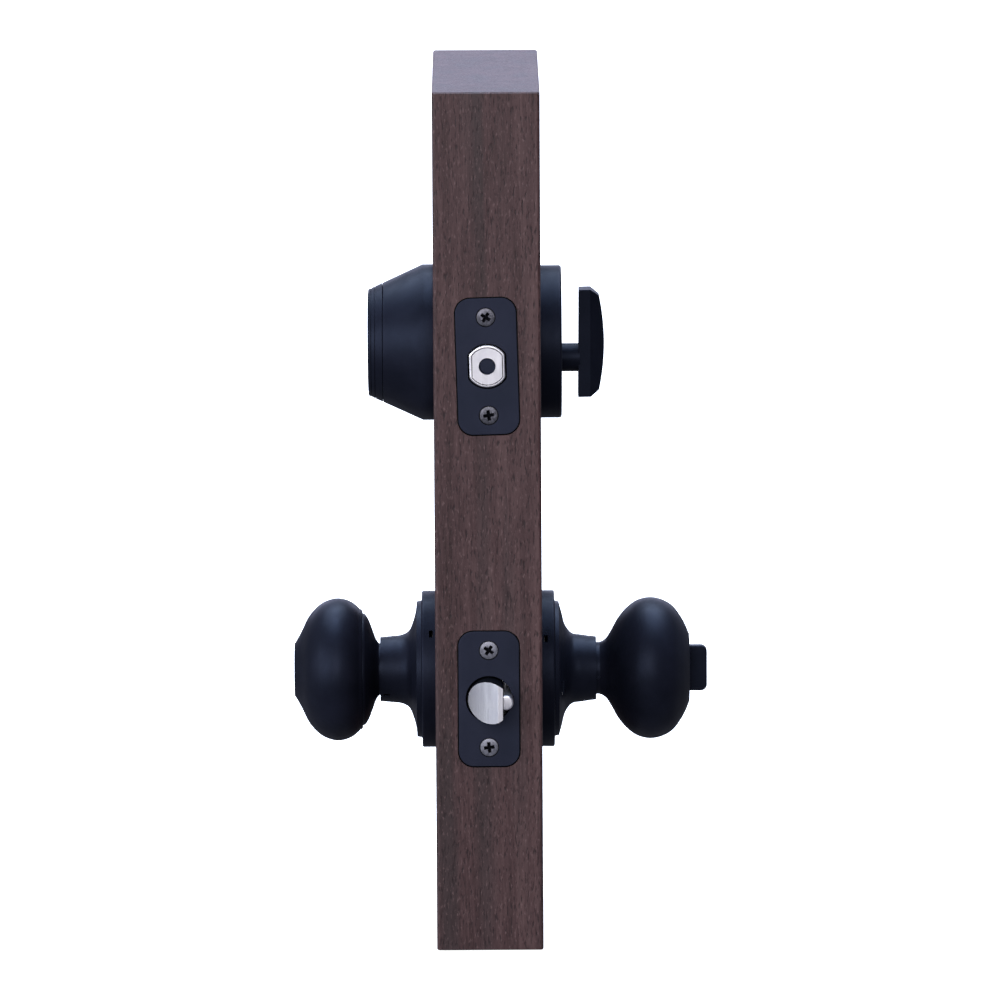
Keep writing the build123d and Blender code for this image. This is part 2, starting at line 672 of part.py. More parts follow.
def turn_button():
    base = disc(9.9, KNOB_FRONT - 1.1, KNOB_FRONT + 0.2)
    base += disc(5.0, 56.5, KNOB_FRONT)
    grip = extrude(Plane.YZ * Pos(0, KNOB_FRONT + 1.25) * RectangleRounded(19.4, 12.5, 2.7), 2.3, both=True)
    base += grip & block(-3, 3, -12, 12, KNOB_FRONT, BUTTON_TOP)
    base = base - turned([(4.2, 58.4), (7, 58.4), (7, 59.4), (4.2, 59.4)])
    base -= flat_bar(BAR_WIDTH + 0.1, BAR_THICKNESS + 0.1, 50, KNOB_FRONT - 2)
    save("turn_button", inner_side(KNOB_HEIGHT), base)


def turn_button_clip():
    clip = disc(7.4, 58.5, 59.3) - disc(4.25, 58, 60) - block(-3.0, 3.0, -9, 0, 58, 60)
    save("turn_button_clip", inner_side(KNOB_HEIGHT), clip)


def turn_button_bar():
    bar = flat_bar(BAR_WIDTH, BAR_THICKNESS, BAR_END, KNOB_FRONT - 2.2)
    save("turn_button_bar", inner_side(KNOB_HEIGHT), bar)


# ---------------------------------------------------------------- knob latch

HUB_R = 6.6
EAR_TIP_R = 1.6
RAIL_IN = 3.1
RAIL_OUT = 4.3
PLUNGER_R = 3.1
PLUNGER_X = 6.98
PLUNGER_OUT = 9.5
SPRING_STOP = -40.0


def latch_bolt():
    """Spring bolt: a round section with one flat, bevelled across to the flat's edge."""
    land = LATCH_FLAT_X - 2.0
    section = Circle(LATCH_R) & Pos(LATCH_FLAT_X - 20, 0) * Rectangle(40, 40)
    head = Pos(0, 0, -22) * extrude(section, 22 + LATCH_THROW)
    ramp = Polyline((land, LATCH_THROW), (land, 20), (-12, 20), (-12, 0.4), (-LATCH_R, 0.4))
    sweep_back = ThreePointArc((-LATCH_R, 0.4), (-2.4, 7.3), (land, LATCH_THROW))
    head -= extrude(Plane.XZ * make_face([ramp, sweep_back]), 12, both=True)
    head -= disc(4.2, -23, -12)
    save("latch_bolt", door_edge(KNOB_HEIGHT), head)


def latch_retractor():
    """Fork behind the latch bolt: two rails a side, the hub's hooks and the plunger's seat."""
    hook_front = HUB_DEPTH + LATCH_THROW / 2 - EAR_TIP_R - 0.3
    fork = block(-5.6, 5.6, -8.8, 8.8, -25, -22.05) - disc(4.3, -26, -21)
    for x in (-1, 1):
        for y in (-1, 1):
            x_span = sorted((x * RAIL_IN, x * RAIL_OUT))
            fork += block(*x_span, *sorted((y * 6.9, y * 9.2)), hook_front - 3, -24)
            fork += block(*x_span, *sorted((y * 8.0, y * 11.6)), hook_front - 3, hook_front)
    for y in (-1, 1):
        fork += block(-RAIL_OUT, RAIL_OUT, *sorted((y * 9.7, y * 11.6)), hook_front - 3, hook_front)
        fork += block(3.0, 8.0, *sorted((y * 3.6, y * 6.0)), -34, -22.05)
    fork += block(4.8, 8.6, -6.0, 6.0, -34, -33)
    save("latch_retractor", door_edge(KNOB_HEIGHT), fork)


def latch_spring():
    spring = coil(3.3, 1.0, SPRING_STOP + 0.05, -12.05, 10)
    save("latch_spring", door_edge(KNOB_HEIGHT), spring)


def deadlock_plunger():
    """Half-round deadlocking plunger beside the latch bolt's flat."""
    bar = disc(PLUNGER_R, -22, PLUNGER_OUT, x=PLUNGER_X)
    bar = fillet(bar.faces().sort_by(Axis.Z)[-1].edges(), 0.6)
    bar &= block(LATCH_FLAT_X + 0.3, 12, -5, 5, -30, 20)
    save("deadlock_plunger", door_edge(KNOB_HEIGHT), bar)


def plunger_spring():
    spring = Pos(7.6, 0, 0) * coil(1.5, 0.6, -32.95, -22.1, 8)
    save("plunger_spring", door_edge(KNOB_HEIGHT), spring)


def latch_hub():
    """Hub with a square socket from each side and two ears that draw the fork back."""
    lean = KNOB_SWING / 2
    hub = Cylinder(HUB_R, 16)
    ear = extrude(Pos(0, HUB_EAR_R / 2) * Rectangle(2 * EAR_TIP_R, HUB_EAR_R), 2.6, both=True)
    ear += Pos(0, HUB_EAR_R, 0) * Cylinder(EAR_TIP_R, 5.2)
    hub += Rot(0, 0, lean) * ear
    hub += Rot(0, 0, 180 - lean) * ear
    socket = SPINDLE_ACROSS + 0.12
    for side in (-1, 1):
        hub -= Pos(0, 0, side * 4.7) * Box(socket, socket, 7)
    hub -= Cylinder(SPINDLE_BORE_R, 20)
    middle = Plane(origin=(0, AXIS_Y, KNOB_HEIGHT), x_dir=(0, 1, 0), z_dir=(1, 0, 0))
    save("latch_hub", middle, hub)


def latch_case():
    front = -PLATE_THICKNESS - BACK_PLATE_THICKNESS
    case = disc(CASE_R, -42.5, front) - disc(10.7, -43, 0)
    case += bored_cheeks(-84.2, HUB_R + RUNNING_GAP, 0, KNOB_POST_X, POST_R + 0.3)
    case += block(-CHEEK_X - 0.5, CHEEK_X + 0.5, -CHEEK_Y, CHEEK_Y, -84.2, -83.0)
    case += block(-CHEEK_X - 0.5, RAIL_IN - 0.4, -5.5, 5.5, SPRING_STOP - 3.5, SPRING_STOP)
    case -= block(4.5, 6.5, -6.3, 6.3, -47.2, -39.9)
    save("latch_case", door_edge(KNOB_HEIGHT), case)


def latch_edge_parts():
    edge = door_edge(KNOB_HEIGHT)
    opening = Pos(0, 0, -5) * extrude(Circle(LATCH_R + 0.6), 10)
    opening += disc(PLUNGER_R + 0.3, -5, 5, x=PLUNGER_X)
    face_plate("latch_faceplate", edge, opening)
    back_plate("latch_backplate", edge, 10.7)
    face_plate_screws("latch_faceplate_screws", edge)


# ---------------------------------------------------------------- build everything


def build():
    door_block()
    deadbolt_outer_housing()
    deadbolt_front_ring()
    deadbolt_cylinder_body()
    deadbolt_cylinder()
    deadbolt_inner_plate()
    deadbolt_inner_rose()
    deadbolt_thumbturn()
    deadbolt_thumbturn_clip()
    deadbolt_thumbturn_washer()
    deadbolt_mounting_screws()
    deadbolt_tailpiece()
    deadbolt_bolt()
    deadbolt_bolt_insert()
    deadbolt_link()
    deadbolt_cam()
    deadbolt_case()
    deadbolt_edge_parts()
    knob_outer_rose()
    knob_inner_rose()
    knob_rose_clip()
    knob_outer_chassis()
    knob_inner_plate()
    knob_mounting_screws()
    knob_return_spring("outer_return_spring", outer_side(KNOB_HEIGHT))
    knob_return_spring("inner_return_spring", inner_side(KNOB_HEIGHT))
    outer_knob_back()
    outer_knob_shell()
    knob_cylinder_body()
    knob_cylinder()
    spindle("outer_spindle", outer_side(KNOB_HEIGHT))
    spindle("inner_spindle", inner_side(KNOB_HEIGHT))
    inner_knob()
    inner_knob_catch()
    turn_button()
    turn_button_clip()
    turn_button_bar()
    latch_bolt()
    latch_retractor()
    latch_spring()
    deadlock_plunger()
    plunger_spring()
    latch_hub()
    latch_case()
    latch_edge_parts()


build()
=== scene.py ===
import json
import logging
import math
from collections.abc import Callable
from dataclasses import dataclass, field
from enum import Enum

import bmesh
import bpy
from mathutils import Matrix, Vector

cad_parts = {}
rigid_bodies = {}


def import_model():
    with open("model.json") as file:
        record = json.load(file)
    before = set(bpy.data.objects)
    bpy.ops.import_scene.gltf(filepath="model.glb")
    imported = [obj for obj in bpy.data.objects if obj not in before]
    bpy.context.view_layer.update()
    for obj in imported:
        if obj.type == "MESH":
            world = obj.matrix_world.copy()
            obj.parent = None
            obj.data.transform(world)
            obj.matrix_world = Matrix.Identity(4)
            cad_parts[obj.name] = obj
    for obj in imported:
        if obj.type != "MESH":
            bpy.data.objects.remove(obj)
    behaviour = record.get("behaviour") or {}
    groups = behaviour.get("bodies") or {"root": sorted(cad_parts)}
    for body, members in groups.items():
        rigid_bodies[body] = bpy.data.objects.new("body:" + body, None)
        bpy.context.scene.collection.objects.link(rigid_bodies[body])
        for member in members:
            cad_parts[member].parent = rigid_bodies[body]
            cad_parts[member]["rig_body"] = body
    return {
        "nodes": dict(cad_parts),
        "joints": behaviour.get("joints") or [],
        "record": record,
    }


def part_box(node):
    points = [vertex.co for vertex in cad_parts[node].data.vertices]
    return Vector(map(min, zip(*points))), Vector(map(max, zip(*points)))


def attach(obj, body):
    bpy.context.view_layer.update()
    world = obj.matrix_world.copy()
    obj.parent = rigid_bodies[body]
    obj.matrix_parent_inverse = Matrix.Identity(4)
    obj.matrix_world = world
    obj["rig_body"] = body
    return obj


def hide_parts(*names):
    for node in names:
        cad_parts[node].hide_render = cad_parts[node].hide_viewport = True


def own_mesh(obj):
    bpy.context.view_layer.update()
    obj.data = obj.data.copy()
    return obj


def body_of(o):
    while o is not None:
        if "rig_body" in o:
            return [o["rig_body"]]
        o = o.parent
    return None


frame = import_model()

# A keyed deadbolt over a keyed knob set in a block of stained door. Sub-assemblies are drawn in
# millimetres in their own axes (z out of the door, y up) and placed in the row frame in metres.

logging.basicConfig(level=logging.INFO, format="%(name)s: %(message)s")
LOG = logging.getLogger("locks")

MM = 0.001
# The second finish is a near-black painted shade on recesses, rims, gaps and grooves.
SHADE_INDEX = 1  # material index of the faces that take a piece's second finish
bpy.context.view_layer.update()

Point = tuple[float, float]
Triple = tuple[float, float, float]
Mesh = bmesh.types.BMesh
Socket = bpy.types.NodeSocket
EdgeTest = Callable[[bmesh.types.BMEdge], bool]

# ------------------------------------------------------------------ where things are


class Side(Enum):
    """Which way a sub-assembly faces."""

    KEYED = "keyed"
    THUMB = "thumb"
    EDGE = "edge"


def joint_place(name: str) -> Vector:
    """Place of a hinge on its axis.

    Args:
        name: the joint's name.

    Returns:
        The joint's point in the row frame, in metres.
    """
    joint = next(j for j in frame["joints"] if j["name"] == name)
    return Vector(joint["pos_m"])


@dataclass(frozen=True)
class Site:
    """The block's faces and the two locks' axes, read from the frame."""

    face_x: float
    edge_y: float
    axis_y: float
    knob_z: float
    deadbolt_z: float

    @classmethod
    def from_frame(cls) -> "Site":
        """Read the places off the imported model.

        Returns:
            The site.
        """
        low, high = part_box("door_block")
        knob = joint_place("keyed_knob_turn")
        rose_low, rose_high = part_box("deadbolt_inner_rose")
        return cls(high.x, low.y, knob.y, knob.z, (rose_low.z + rose_high.z) / 2)

    def axes(self, side: Side, height: float) -> Matrix:
        """Matrix from a sub-assembly's own millimetres to the row frame.

        Args:
            side: the face that the sub-assembly is on.
            height: the height of its axis in metres.

        Returns:
            A matrix with the side's axes, scale and origin.
        """
        columns = {
            Side.KEYED: ((0, -1, 0), (0, 0, 1), (-1, 0, 0), (-self.face_x, self.axis_y, height)),
            Side.THUMB: ((0, 1, 0), (0, 0, 1), (1, 0, 0), (self.face_x, self.axis_y, height)),
            Side.EDGE: ((1, 0, 0), (0, 0, 1), (0, -1, 0), (0, self.edge_y, height)),
        }[side]
        x_axis, y_axis, z_axis, origin = (Vector(c) for c in columns)
        turn = Matrix((x_axis, y_axis, z_axis)).transposed().to_4x4()
        return Matrix.Translation(origin) @ turn @ Matrix.Scale(MM, 4)


# ------------------------------------------------------------------ material graphs


class Graph:
    """A material's node tree, built a node at a time."""

    def __init__(self, name: str) -> None:
        """Start an empty material with its output and shader.

        Args:
            name: the material's name.
        """
        self.material = bpy.data.materials.new(name)
        self.material.use_nodes = True
        self.tree = self.material.node_tree
        self.tree.nodes.clear()
        self.output = self.tree.nodes.new("ShaderNodeOutputMaterial")
        self.shader = self.tree.nodes.new("ShaderNodeBsdfPrincipled")
        self.tree.links.new(self.shader.outputs["BSDF"], self.output.inputs["Surface"])

    def add(self, kind: str, **settings: object) -> bpy.types.Node:
        """Add a node and set its plain properties.

        Args:
            kind: the node's type, without its ShaderNode prefix.
            settings: its plain properties by name.

        Returns:
            The node.
        """
        node = self.tree.nodes.new("ShaderNode" + kind)
        for key, value in settings.items():
            setattr(node, key, value)
        return node

    def link(self, source: Socket, target: Socket) -> None:
        """Join an output to an input."""
        self.tree.links.new(source, target)

    def place(self, scale: Triple, shift: Triple = (0, 0, 0),
              turn: Triple = (0, 0, 0)) -> Socket:
        """Object coordinates, moved, turned and scaled.

        Args:
            scale: cycles per metre along each axis.
            shift: where the pattern starts, in metres.
            turn: rotation of the pattern in radians.

        Returns:
            A vector socket.
        """
        coordinates = self.add("TexCoord")
        mapping = self.add("Mapping")
        mapping.inputs["Location"].default_value = shift
        mapping.inputs["Rotation"].default_value = turn
        mapping.inputs["Scale"].default_value = scale
        self.link(coordinates.outputs["Object"], mapping.inputs["Vector"])
        return mapping.outputs["Vector"]

    def noise(self, vector: Socket, scale: float = 1.0, detail: float = 3.0,
              roughness: float = 0.55, distortion: float = 0.0) -> Socket:
        """Noise value on a vector.

        Args:
            vector: where the pattern is read.
            scale: how fine the pattern is.
            detail: how many finer layers it has.
            roughness: how strong the finer layers are.
            distortion: how much it is warped.

        Returns:
            A value socket.
        """
        node = self.add("TexNoise")
        for key, value in (("Scale", scale), ("Detail", detail), ("Roughness", roughness),
                           ("Distortion", distortion)):
            node.inputs[key].default_value = value
        self.link(vector, node.inputs["Vector"])
        return node.outputs["Fac"]

    def ramp(self, value: Socket, stops: list[tuple[float, tuple[float, ...]]]) -> Socket:
        """Colour ramp through the given stops.

        Args:
            value: where the ramp is read.
            stops: places from 0 to 1 with their colours.

        Returns:
            A colour socket.
        """
        node = self.add("ValToRGB")
        elements = node.color_ramp.elements
        while len(elements) < len(stops):
            elements.new(0.5)
        for element, (place, colour) in zip(elements, stops):
            element.position = place
            element.color = (*colour, 1.0)
        self.link(value, node.inputs["Fac"])
        return node.outputs["Color"]

    def fit(self, value: Socket, low: float, high: float, new_low: float,
            new_high: float) -> Socket:
        """Value moved from one range to another, held at the ends.

        Args:
            value: the value that is moved.
            low: the lower end.
            high: the upper end.
            new_low: what the lower end becomes.
            new_high: what the upper end becomes.

        Returns:
            A value socket.
        """
        node = self.add("MapRange")
        ends = {"From Min": low, "From Max": high, "To Min": new_low, "To Max": new_high}
        for key, number in ends.items():
            node.inputs[key].default_value = number
        self.link(value, node.inputs["Value"])
        return node.outputs["Result"]

    def maths(self, kind: str, first: Socket, second: Socket | float) -> Socket:
        """One sum on two values.

        Args:
            kind: the operation's name.
            first: the first value.
            second: the second value.

        Returns:
            A value socket.
        """
        node = self.add("Math", operation=kind)
        self.link(first, node.inputs[0])
        if isinstance(second, (int, float)):
            node.inputs[1].default_value = second
        else:
            self.link(second, node.inputs[1])
        return node.outputs["Value"]

    def within(self, value: Socket, middle: float, reach: float) -> Socket:
        """One where a value is no further than its reach from the middle, and zero elsewhere.

        Args:
            value: the value that is tested.
            middle: the middle of the range.
            reach: how far the range goes to each side.

        Returns:
            A value socket.
        """
        node = self.add("Math", operation="COMPARE")
        self.link(value, node.inputs[0])
        node.inputs[1].default_value = middle
        node.inputs[2].default_value = reach
        return node.outputs["Value"]

    def mix(self, factor: Socket | float, first: Socket | Triple, second: Socket | Triple) -> Socket:
        """Blend of two colours, each a socket or a plain colour.

        Args:
            factor: the share of the second colour.
            first: the colour at zero, a socket or a plain colour.
            second: the colour at one, a socket or a plain colour.

        Returns:
            A colour socket.
        """
        node = self.add("Mix", data_type="RGBA")
        for name, value in (("Factor", factor), ("A", first), ("B", second)):
            socket = node.inputs[name]
            if isinstance(value, Socket):
                self.link(value, socket)
            elif isinstance(value, (int, float)):
                socket.default_value = value
            else:
                socket.default_value = (*value, 1.0)
        return node.outputs["Result"]

    def bump(self, height: Socket, strength: float, distance: float,
             under: Socket | None = None) -> Socket:
        """Surface relief from a height value, over another relief if given.

        Args:
            height: the height value.
            strength: how strong the relief is.
            distance: how high it stands, in metres.
            under: the relief that it lies over, if any.

        Returns:
            A normal socket.
        """
        node = self.add("Bump")
        node.inputs["Strength"].default_value = strength
        node.inputs["Distance"].default_value = distance
        self.link(height, node.inputs["Height"])
        if under is not None:
            self.link(under, node.inputs["Normal"])
        return node.outputs["Normal"]


# ------------------------------------------------------------------ finishes


@dataclass(frozen=True)
class BlackFinish:
    """Satin black plating with a cool sheen, a little uneven and finely pitted."""

    name: str = "satin_black_plating"
    deep: Triple = (0.0050, 0.0058, 0.0105)
    thin: Triple = (0.0090, 0.0102, 0.0180)
    gloss: tuple[float, float] = (0.38, 0.50)
    sheen: float = 0.16
    sheen_tint: Triple = (0.52, 0.65, 1.0)

    def material(self) -> bpy.types.Material:
        """Build the plating's material.

        Returns:
            The material.
        """
        g = Graph(self.name)
        clouds = g.noise(g.place((46, 46, 46)), detail=4)
        grit = g.noise(g.place((2600, 2600, 2600)), detail=2, roughness=0.6)
        smears = g.noise(g.place((160, 160, 34)), detail=3, distortion=0.4)
        colour = g.ramp(clouds, [(0.36, self.deep), (0.66, self.thin)])
        g.link(colour, g.shader.inputs["Base Color"])
        uneven = g.maths("ADD", g.maths("MULTIPLY", smears, 0.7), g.maths("MULTIPLY", grit, 0.3))
        g.link(g.fit(uneven, 0.34, 0.66, *self.gloss), g.shader.inputs["Roughness"])
        g.link(g.bump(grit, 0.10, 0.00006), g.shader.inputs["Normal"])
        g.shader.inputs["Specular IOR Level"].default_value = self.sheen
        g.shader.inputs["Specular Tint"].default_value = (*self.sheen_tint, 1.0)
        return g.material


@dataclass(frozen=True)
class StainedWood:
    """Dark red-brown stained veneer with upright grain, long pores and a thin satin lacquer."""

    name: str = "stained_wood"
    dark: Triple = (0.034, 0.016, 0.016)
    middle: Triple = (0.062, 0.031, 0.032)
    light: Triple = (0.102, 0.057, 0.056)
    pore: Triple = (0.013, 0.006, 0.007)
    fleck: Triple = (0.190, 0.120, 0.118)
    shade: Triple = (0.036, 0.026, 0.027)
    # near-black painted shade for the walls of the pockets and bores
    pocket_shade_colour: Triple = (0.0035, 0.0024, 0.0026)
    bore_reach: float = 0.0155

    def pocket_shade_mask(self, g: Graph) -> Socket:
        """One inside the pockets and bores, where the wood is painted near-black as shade, and zero
        outside.

        Args:
            g: the wood's node tree.

        Returns:
            A value socket.
        """
        low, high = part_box("door_block")
        split = g.add("SeparateXYZ")
        g.link(g.place((1, 1, 1)), split.inputs["Vector"])
        across = g.within(split.outputs["X"], 0.0, self.bore_reach)
        upright = g.within(split.outputs["Z"], (low.z + high.z) / 2, (high.z - low.z) / 2 - 0.004)
        behind = g.within(split.outputs["Y"], (low.y + high.y) / 2, (high.y - low.y) / 2 - 0.0002)
        return g.maths("MULTIPLY", g.maths("MULTIPLY", across, upright), behind)

    def material(self) -> bpy.types.Material:
        """Build the wood's material.

        Returns:
            The material.
        """
        g = Graph(self.name)
        wander = g.noise(g.place((30, 30, 7)), detail=3)
        bands = g.noise(g.place((170, 170, 5)), detail=4, distortion=0.35)
        fibres = g.noise(g.place((950, 950, 70)), detail=4, roughness=0.65)
        pores = g.noise(g.place((1500, 1500, 260), shift=(0.3, 0.1, 0.7)), detail=2, roughness=0.5)
        rays = g.noise(g.place((1200, 1200, 330), shift=(0.9, 0.4, 0.2)), detail=3, roughness=0.6)
        boards = g.noise(g.place((85, 85, 2.5), shift=(0.5, 0.2, 0.6)), detail=2, distortion=0.2)
        tone = g.maths("ADD", g.maths("MULTIPLY", bands, 0.40), g.maths("MULTIPLY", fibres, 0.38))
        tone = g.maths("ADD", tone, g.maths("MULTIPLY", wander, 0.22))
        stain = g.ramp(tone, [(0.38, self.dark), (0.50, self.middle), (0.63, self.light)])
        stain = g.mix(g.fit(boards, 0.50, 0.62, 0.0, 0.55), stain, self.shade)
        lit = g.mix(g.fit(rays, 0.57, 0.74, 0.0, 0.70), stain, self.fleck)
        open_pores = g.fit(pores, 0.56, 0.68, 0.0, 0.80)
        veneer = g.mix(open_pores, lit, self.pore)
        # the pocket and bore walls are painted near-black as shade
        g.link(g.mix(self.pocket_shade_mask(g), veneer, self.pocket_shade_colour), g.shader.inputs["Base Color"])
        g.link(g.fit(fibres, 0.3, 0.7, 0.38, 0.54), g.shader.inputs["Roughness"])
        grain = g.bump(fibres, 0.14, 0.0002)
        g.link(g.bump(g.fit(pores, 0.56, 0.70, 1.0, 0.0), 0.45, 0.00014, grain), g.shader.inputs["Normal"])
        g.shader.inputs["Specular IOR Level"].default_value = 0.32
        return g.material


@dataclass(frozen=True)
class BrightMetal:
    """Bare or plated metal, brushed along one direction, with a little tarnish in patches."""

    name: str
    colour: Triple
    tarnish: Triple
    gloss: tuple[float, float] = (0.26, 0.42)
    lines: Triple = (1400, 1400, 60)
    lift: float = 0.12

    def material(self) -> bpy.types.Material:
        """Build the metal's material.

        Returns:
            The material.
        """
        g = Graph(self.name)
        clouds = g.noise(g.place((120, 120, 120)), detail=4)
        brushing = g.noise(g.place(self.lines), detail=3, roughness=0.6)
        g.link(g.ramp(clouds, [(0.40, self.colour), (0.74, self.tarnish)]), g.shader.inputs["Base Color"])
        g.link(g.fit(brushing, 0.3, 0.7, *self.gloss), g.shader.inputs["Roughness"])
        g.link(g.bump(brushing, self.lift, 0.00005), g.shader.inputs["Normal"])
        g.shader.inputs["Metallic"].default_value = 1.0
        return g.material


@dataclass(frozen=True)
class WornScrew:
    """Screw steel whose dark finish is rubbed through in fine scratches."""

    name: str
    coat: Triple
    bare: Triple
    wear: tuple[float, float] = (0.50, 0.66)
    metallic: float = 0.8

    def material(self) -> bpy.types.Material:
        """Build the screw's material.

        Returns:
            The material.
        """
        g = Graph(self.name)
        scratches = g.noise(g.place((900, 2600, 900), turn=(0.2, 0.3, 0.7)), detail=3, roughness=0.65)
        patches = g.noise(g.place((330, 330, 330)), detail=3)
        rubbed = g.maths("ADD", g.maths("MULTIPLY", scratches, 0.55), g.maths("MULTIPLY", patches, 0.45))
        worn = g.fit(rubbed, *self.wear, 0.0, 1.0)
        g.link(g.mix(worn, self.coat, self.bare), g.shader.inputs["Base Color"])
        g.link(g.fit(scratches, 0.3, 0.7, 0.30, 0.48), g.shader.inputs["Roughness"])
        g.link(g.bump(scratches, 0.15, 0.00005), g.shader.inputs["Normal"])
        g.shader.inputs["Metallic"].default_value = self.metallic
        return g.material


class Finishes:
    """The finishes by material slot, each built once."""

    def __init__(self) -> None:
        """Choose a finish for every slot."""
        self.makers = {
            "stained_wood": StainedWood(),
            "black_finish": BlackFinish(),
            "black_plate": BlackFinish(
                "satin_black_pressing", (0.011, 0.012, 0.020), (0.016, 0.017, 0.028), sheen=0.30),
            # near-black painted shade for recesses, rims, gaps and grooves
            "painted_recess_shade": BlackFinish(
                "painted_recess_shade", (0.003, 0.003, 0.004), (0.007, 0.007, 0.009), gloss=(0.6, 0.8), sheen=0.1),
            "satin_nickel": BrightMetal(
                "satin_nickel", (0.94, 0.94, 0.97), (0.82, 0.82, 0.87)),
            "latch_nickel": BrightMetal(
                "latch_nickel", (0.97, 0.97, 0.99), (0.86, 0.86, 0.91), gloss=(0.27, 0.40), lift=0.04),
            "zinc_plate": BrightMetal(
                "zinc_plate", (0.62, 0.64, 0.66), (0.47, 0.48, 0.47), lines=(700, 700, 700)),
            "brass": BrightMetal(
                "brass", (0.74, 0.53, 0.25), (0.52, 0.35, 0.15), gloss=(0.24, 0.38)),
            "spring_steel": BrightMetal(
                "spring_steel", (0.50, 0.51, 0.54), (0.36, 0.36, 0.38), lines=(500, 500, 500)),
            "black_screw": WornScrew(
                "black_screw", (0.085, 0.087, 0.103), (0.23, 0.23, 0.27), wear=(0.44, 0.68)),
            "steel_screw": WornScrew(
                "steel_screw", (0.15, 0.155, 0.185), (0.31, 0.32, 0.37), wear=(0.36, 0.64)),
        }
        self.built: dict[str, bpy.types.Material] = {}

    def of(self, slot: str) -> bpy.types.Material:
        """The finish of a slot.

        Args:
            slot: a material slot or one of its variants.

        Returns:
            The finish's material.
        """
        if slot not in self.built:
            self.built[slot] = self.makers[slot].material()
        return self.built[slot]


# ------------------------------------------------------------------ mesh tools


class Plane(Enum):
    """The two axes that an outline is drawn in."""

    XY = (0, 1)
    YZ = (1, 2)
    XZ = (0, 2)


class Work(Enum):
    """What other solids do to a solid."""

    CUT = "DIFFERENCE"
    ADD = "UNION"
    CROSS = "INTERSECT"


def smooth_run(points: list[Point], steps: int = 8) -> list[Point]:
    """A smooth curve through a few points, however unevenly they are spaced.

    Args:
        points: the points that the curve passes through, in order.
        steps: how many short straights stand for each stretch.

    Returns:
        The curve's points, both ends among them.
    """
    spots = [Vector(p) for p in points]
    chords = [(b - a).length for a, b in zip(spots, spots[1:])]
    slopes = [(b - a) / c for a, b, c in zip(spots, spots[1:], chords)]
    tangents = [(before * ahead_c + ahead * before_c) / (before_c + ahead_c)
                for before, ahead, before_c, ahead_c in zip(slopes, slopes[1:], chords, chords[1:])]
    tangents = [2 * slopes[0] - tangents[0], *tangents, 2 * slopes[-1] - tangents[-1]]
    run = []
    for start, end, leave, arrive, chord in zip(spots, spots[1:], tangents, tangents[1:], chords):
        for step in range(steps):
            t = step / steps
            here = (1 + 2 * t) * (1 - t) ** 2 * start + t ** 2 * (3 - 2 * t) * end
            here += chord * (t * (1 - t) ** 2 * leave - t ** 2 * (1 - t) * arrive)
            run.append((here.x, here.y))
    return [*run, points[-1]]


def arc_run(start: Point, through: Point, end: Point, steps: int = 20) -> list[Point]:
    """Points on the circle's arc from start through a middle point to end.

    Args:
        start: where the arc starts.
        through: a point that it passes through.
        end: where it ends.
        steps: how many short straights stand for it.

    Returns:
        The arc's points, both ends among them.
    """
    ax, ay = start
    bx, by = through
    cx, cy = end
    twice = 2 * (ax * (by - cy) + bx * (cy - ay) + cx * (ay - by))
    squares = [x * x + y * y for x, y in (start, through, end)]
    ux = (squares[0] * (by - cy) + squares[1] * (cy - ay) + squares[2] * (ay - by)) / twice
    uy = (squares[0] * (cx - bx) + squares[1] * (ax - cx) + squares[2] * (bx - ax)) / twice
    radius = math.hypot(ax - ux, ay - uy)
    first, middle, last = (math.atan2(y - uy, x - ux) for x, y in (start, through, end))
    sweep = (last - first) % (2 * math.pi)
    if (middle - first) % (2 * math.pi) > sweep:
        sweep -= 2 * math.pi
    angles = [first + sweep * step / steps for step in range(steps + 1)]
    return [(ux + radius * math.cos(a), uy + radius * math.sin(a)) for a in angles]


def lathe(outline: list[Point], steps: int = 144, centre: Point = (0.0, 0.0)) -> Mesh:
    """Solid of revolution about z.

    Args:
        outline: closed outline of (radius, height) points.
        steps: how many parts the turn is made in.
        centre: where the axis stands in x and y.

    Returns:
        A closed bmesh with its faces outwards.
    """
    bm = bmesh.new()
    ring = [bm.verts.new((r, 0.0, z)) for r, z in outline]
    edges = [bm.edges.new(pair) for pair in zip(ring, ring[1:] + ring[:1])]
    on_axis = [e for e in edges if all(abs(v.co.x) < 1e-9 for v in e.verts)]
    bmesh.ops.delete(bm, geom=on_axis, context="EDGES_FACES")
    bmesh.ops.spin(bm, geom=bm.verts[:] + bm.edges[:], cent=(0, 0, 0), axis=(0, 0, 1), dvec=(0, 0, 0),
                   angle=2 * math.pi, steps=steps, use_merge=True, use_duplicate=False)
    bmesh.ops.remove_doubles(bm, verts=bm.verts, dist=1e-5)
    bmesh.ops.recalc_face_normals(bm, faces=bm.faces)
    bmesh.ops.translate(bm, vec=(*centre, 0.0), verts=bm.verts)
    return bm


def rod(radius: float, low: float, high: float, centre: Point = (0.0, 0.0), steps: int = 96) -> Mesh:
    """Round rod along z between two heights."""
    return lathe([(0, low), (radius, low), (radius, high), (0, high)], steps, centre)


def raise_faces(bm: Mesh, by: Vector) -> Mesh:
    """Extrude a bmesh's flat face along a vector into a closed solid.

    Args:
        bm: a bmesh with one flat face.
        by: how far and which way.

    Returns:
        The same bmesh.
    """
    grown = bmesh.ops.extrude_face_region(bm, geom=bm.faces[:], use_keep_orig=True)
    moved = [part for part in grown["geom"] if isinstance(part, bmesh.types.BMVert)]
    bmesh.ops.translate(bm, vec=by, verts=moved)
    bmesh.ops.recalc_face_normals(bm, faces=bm.faces)
    return bm


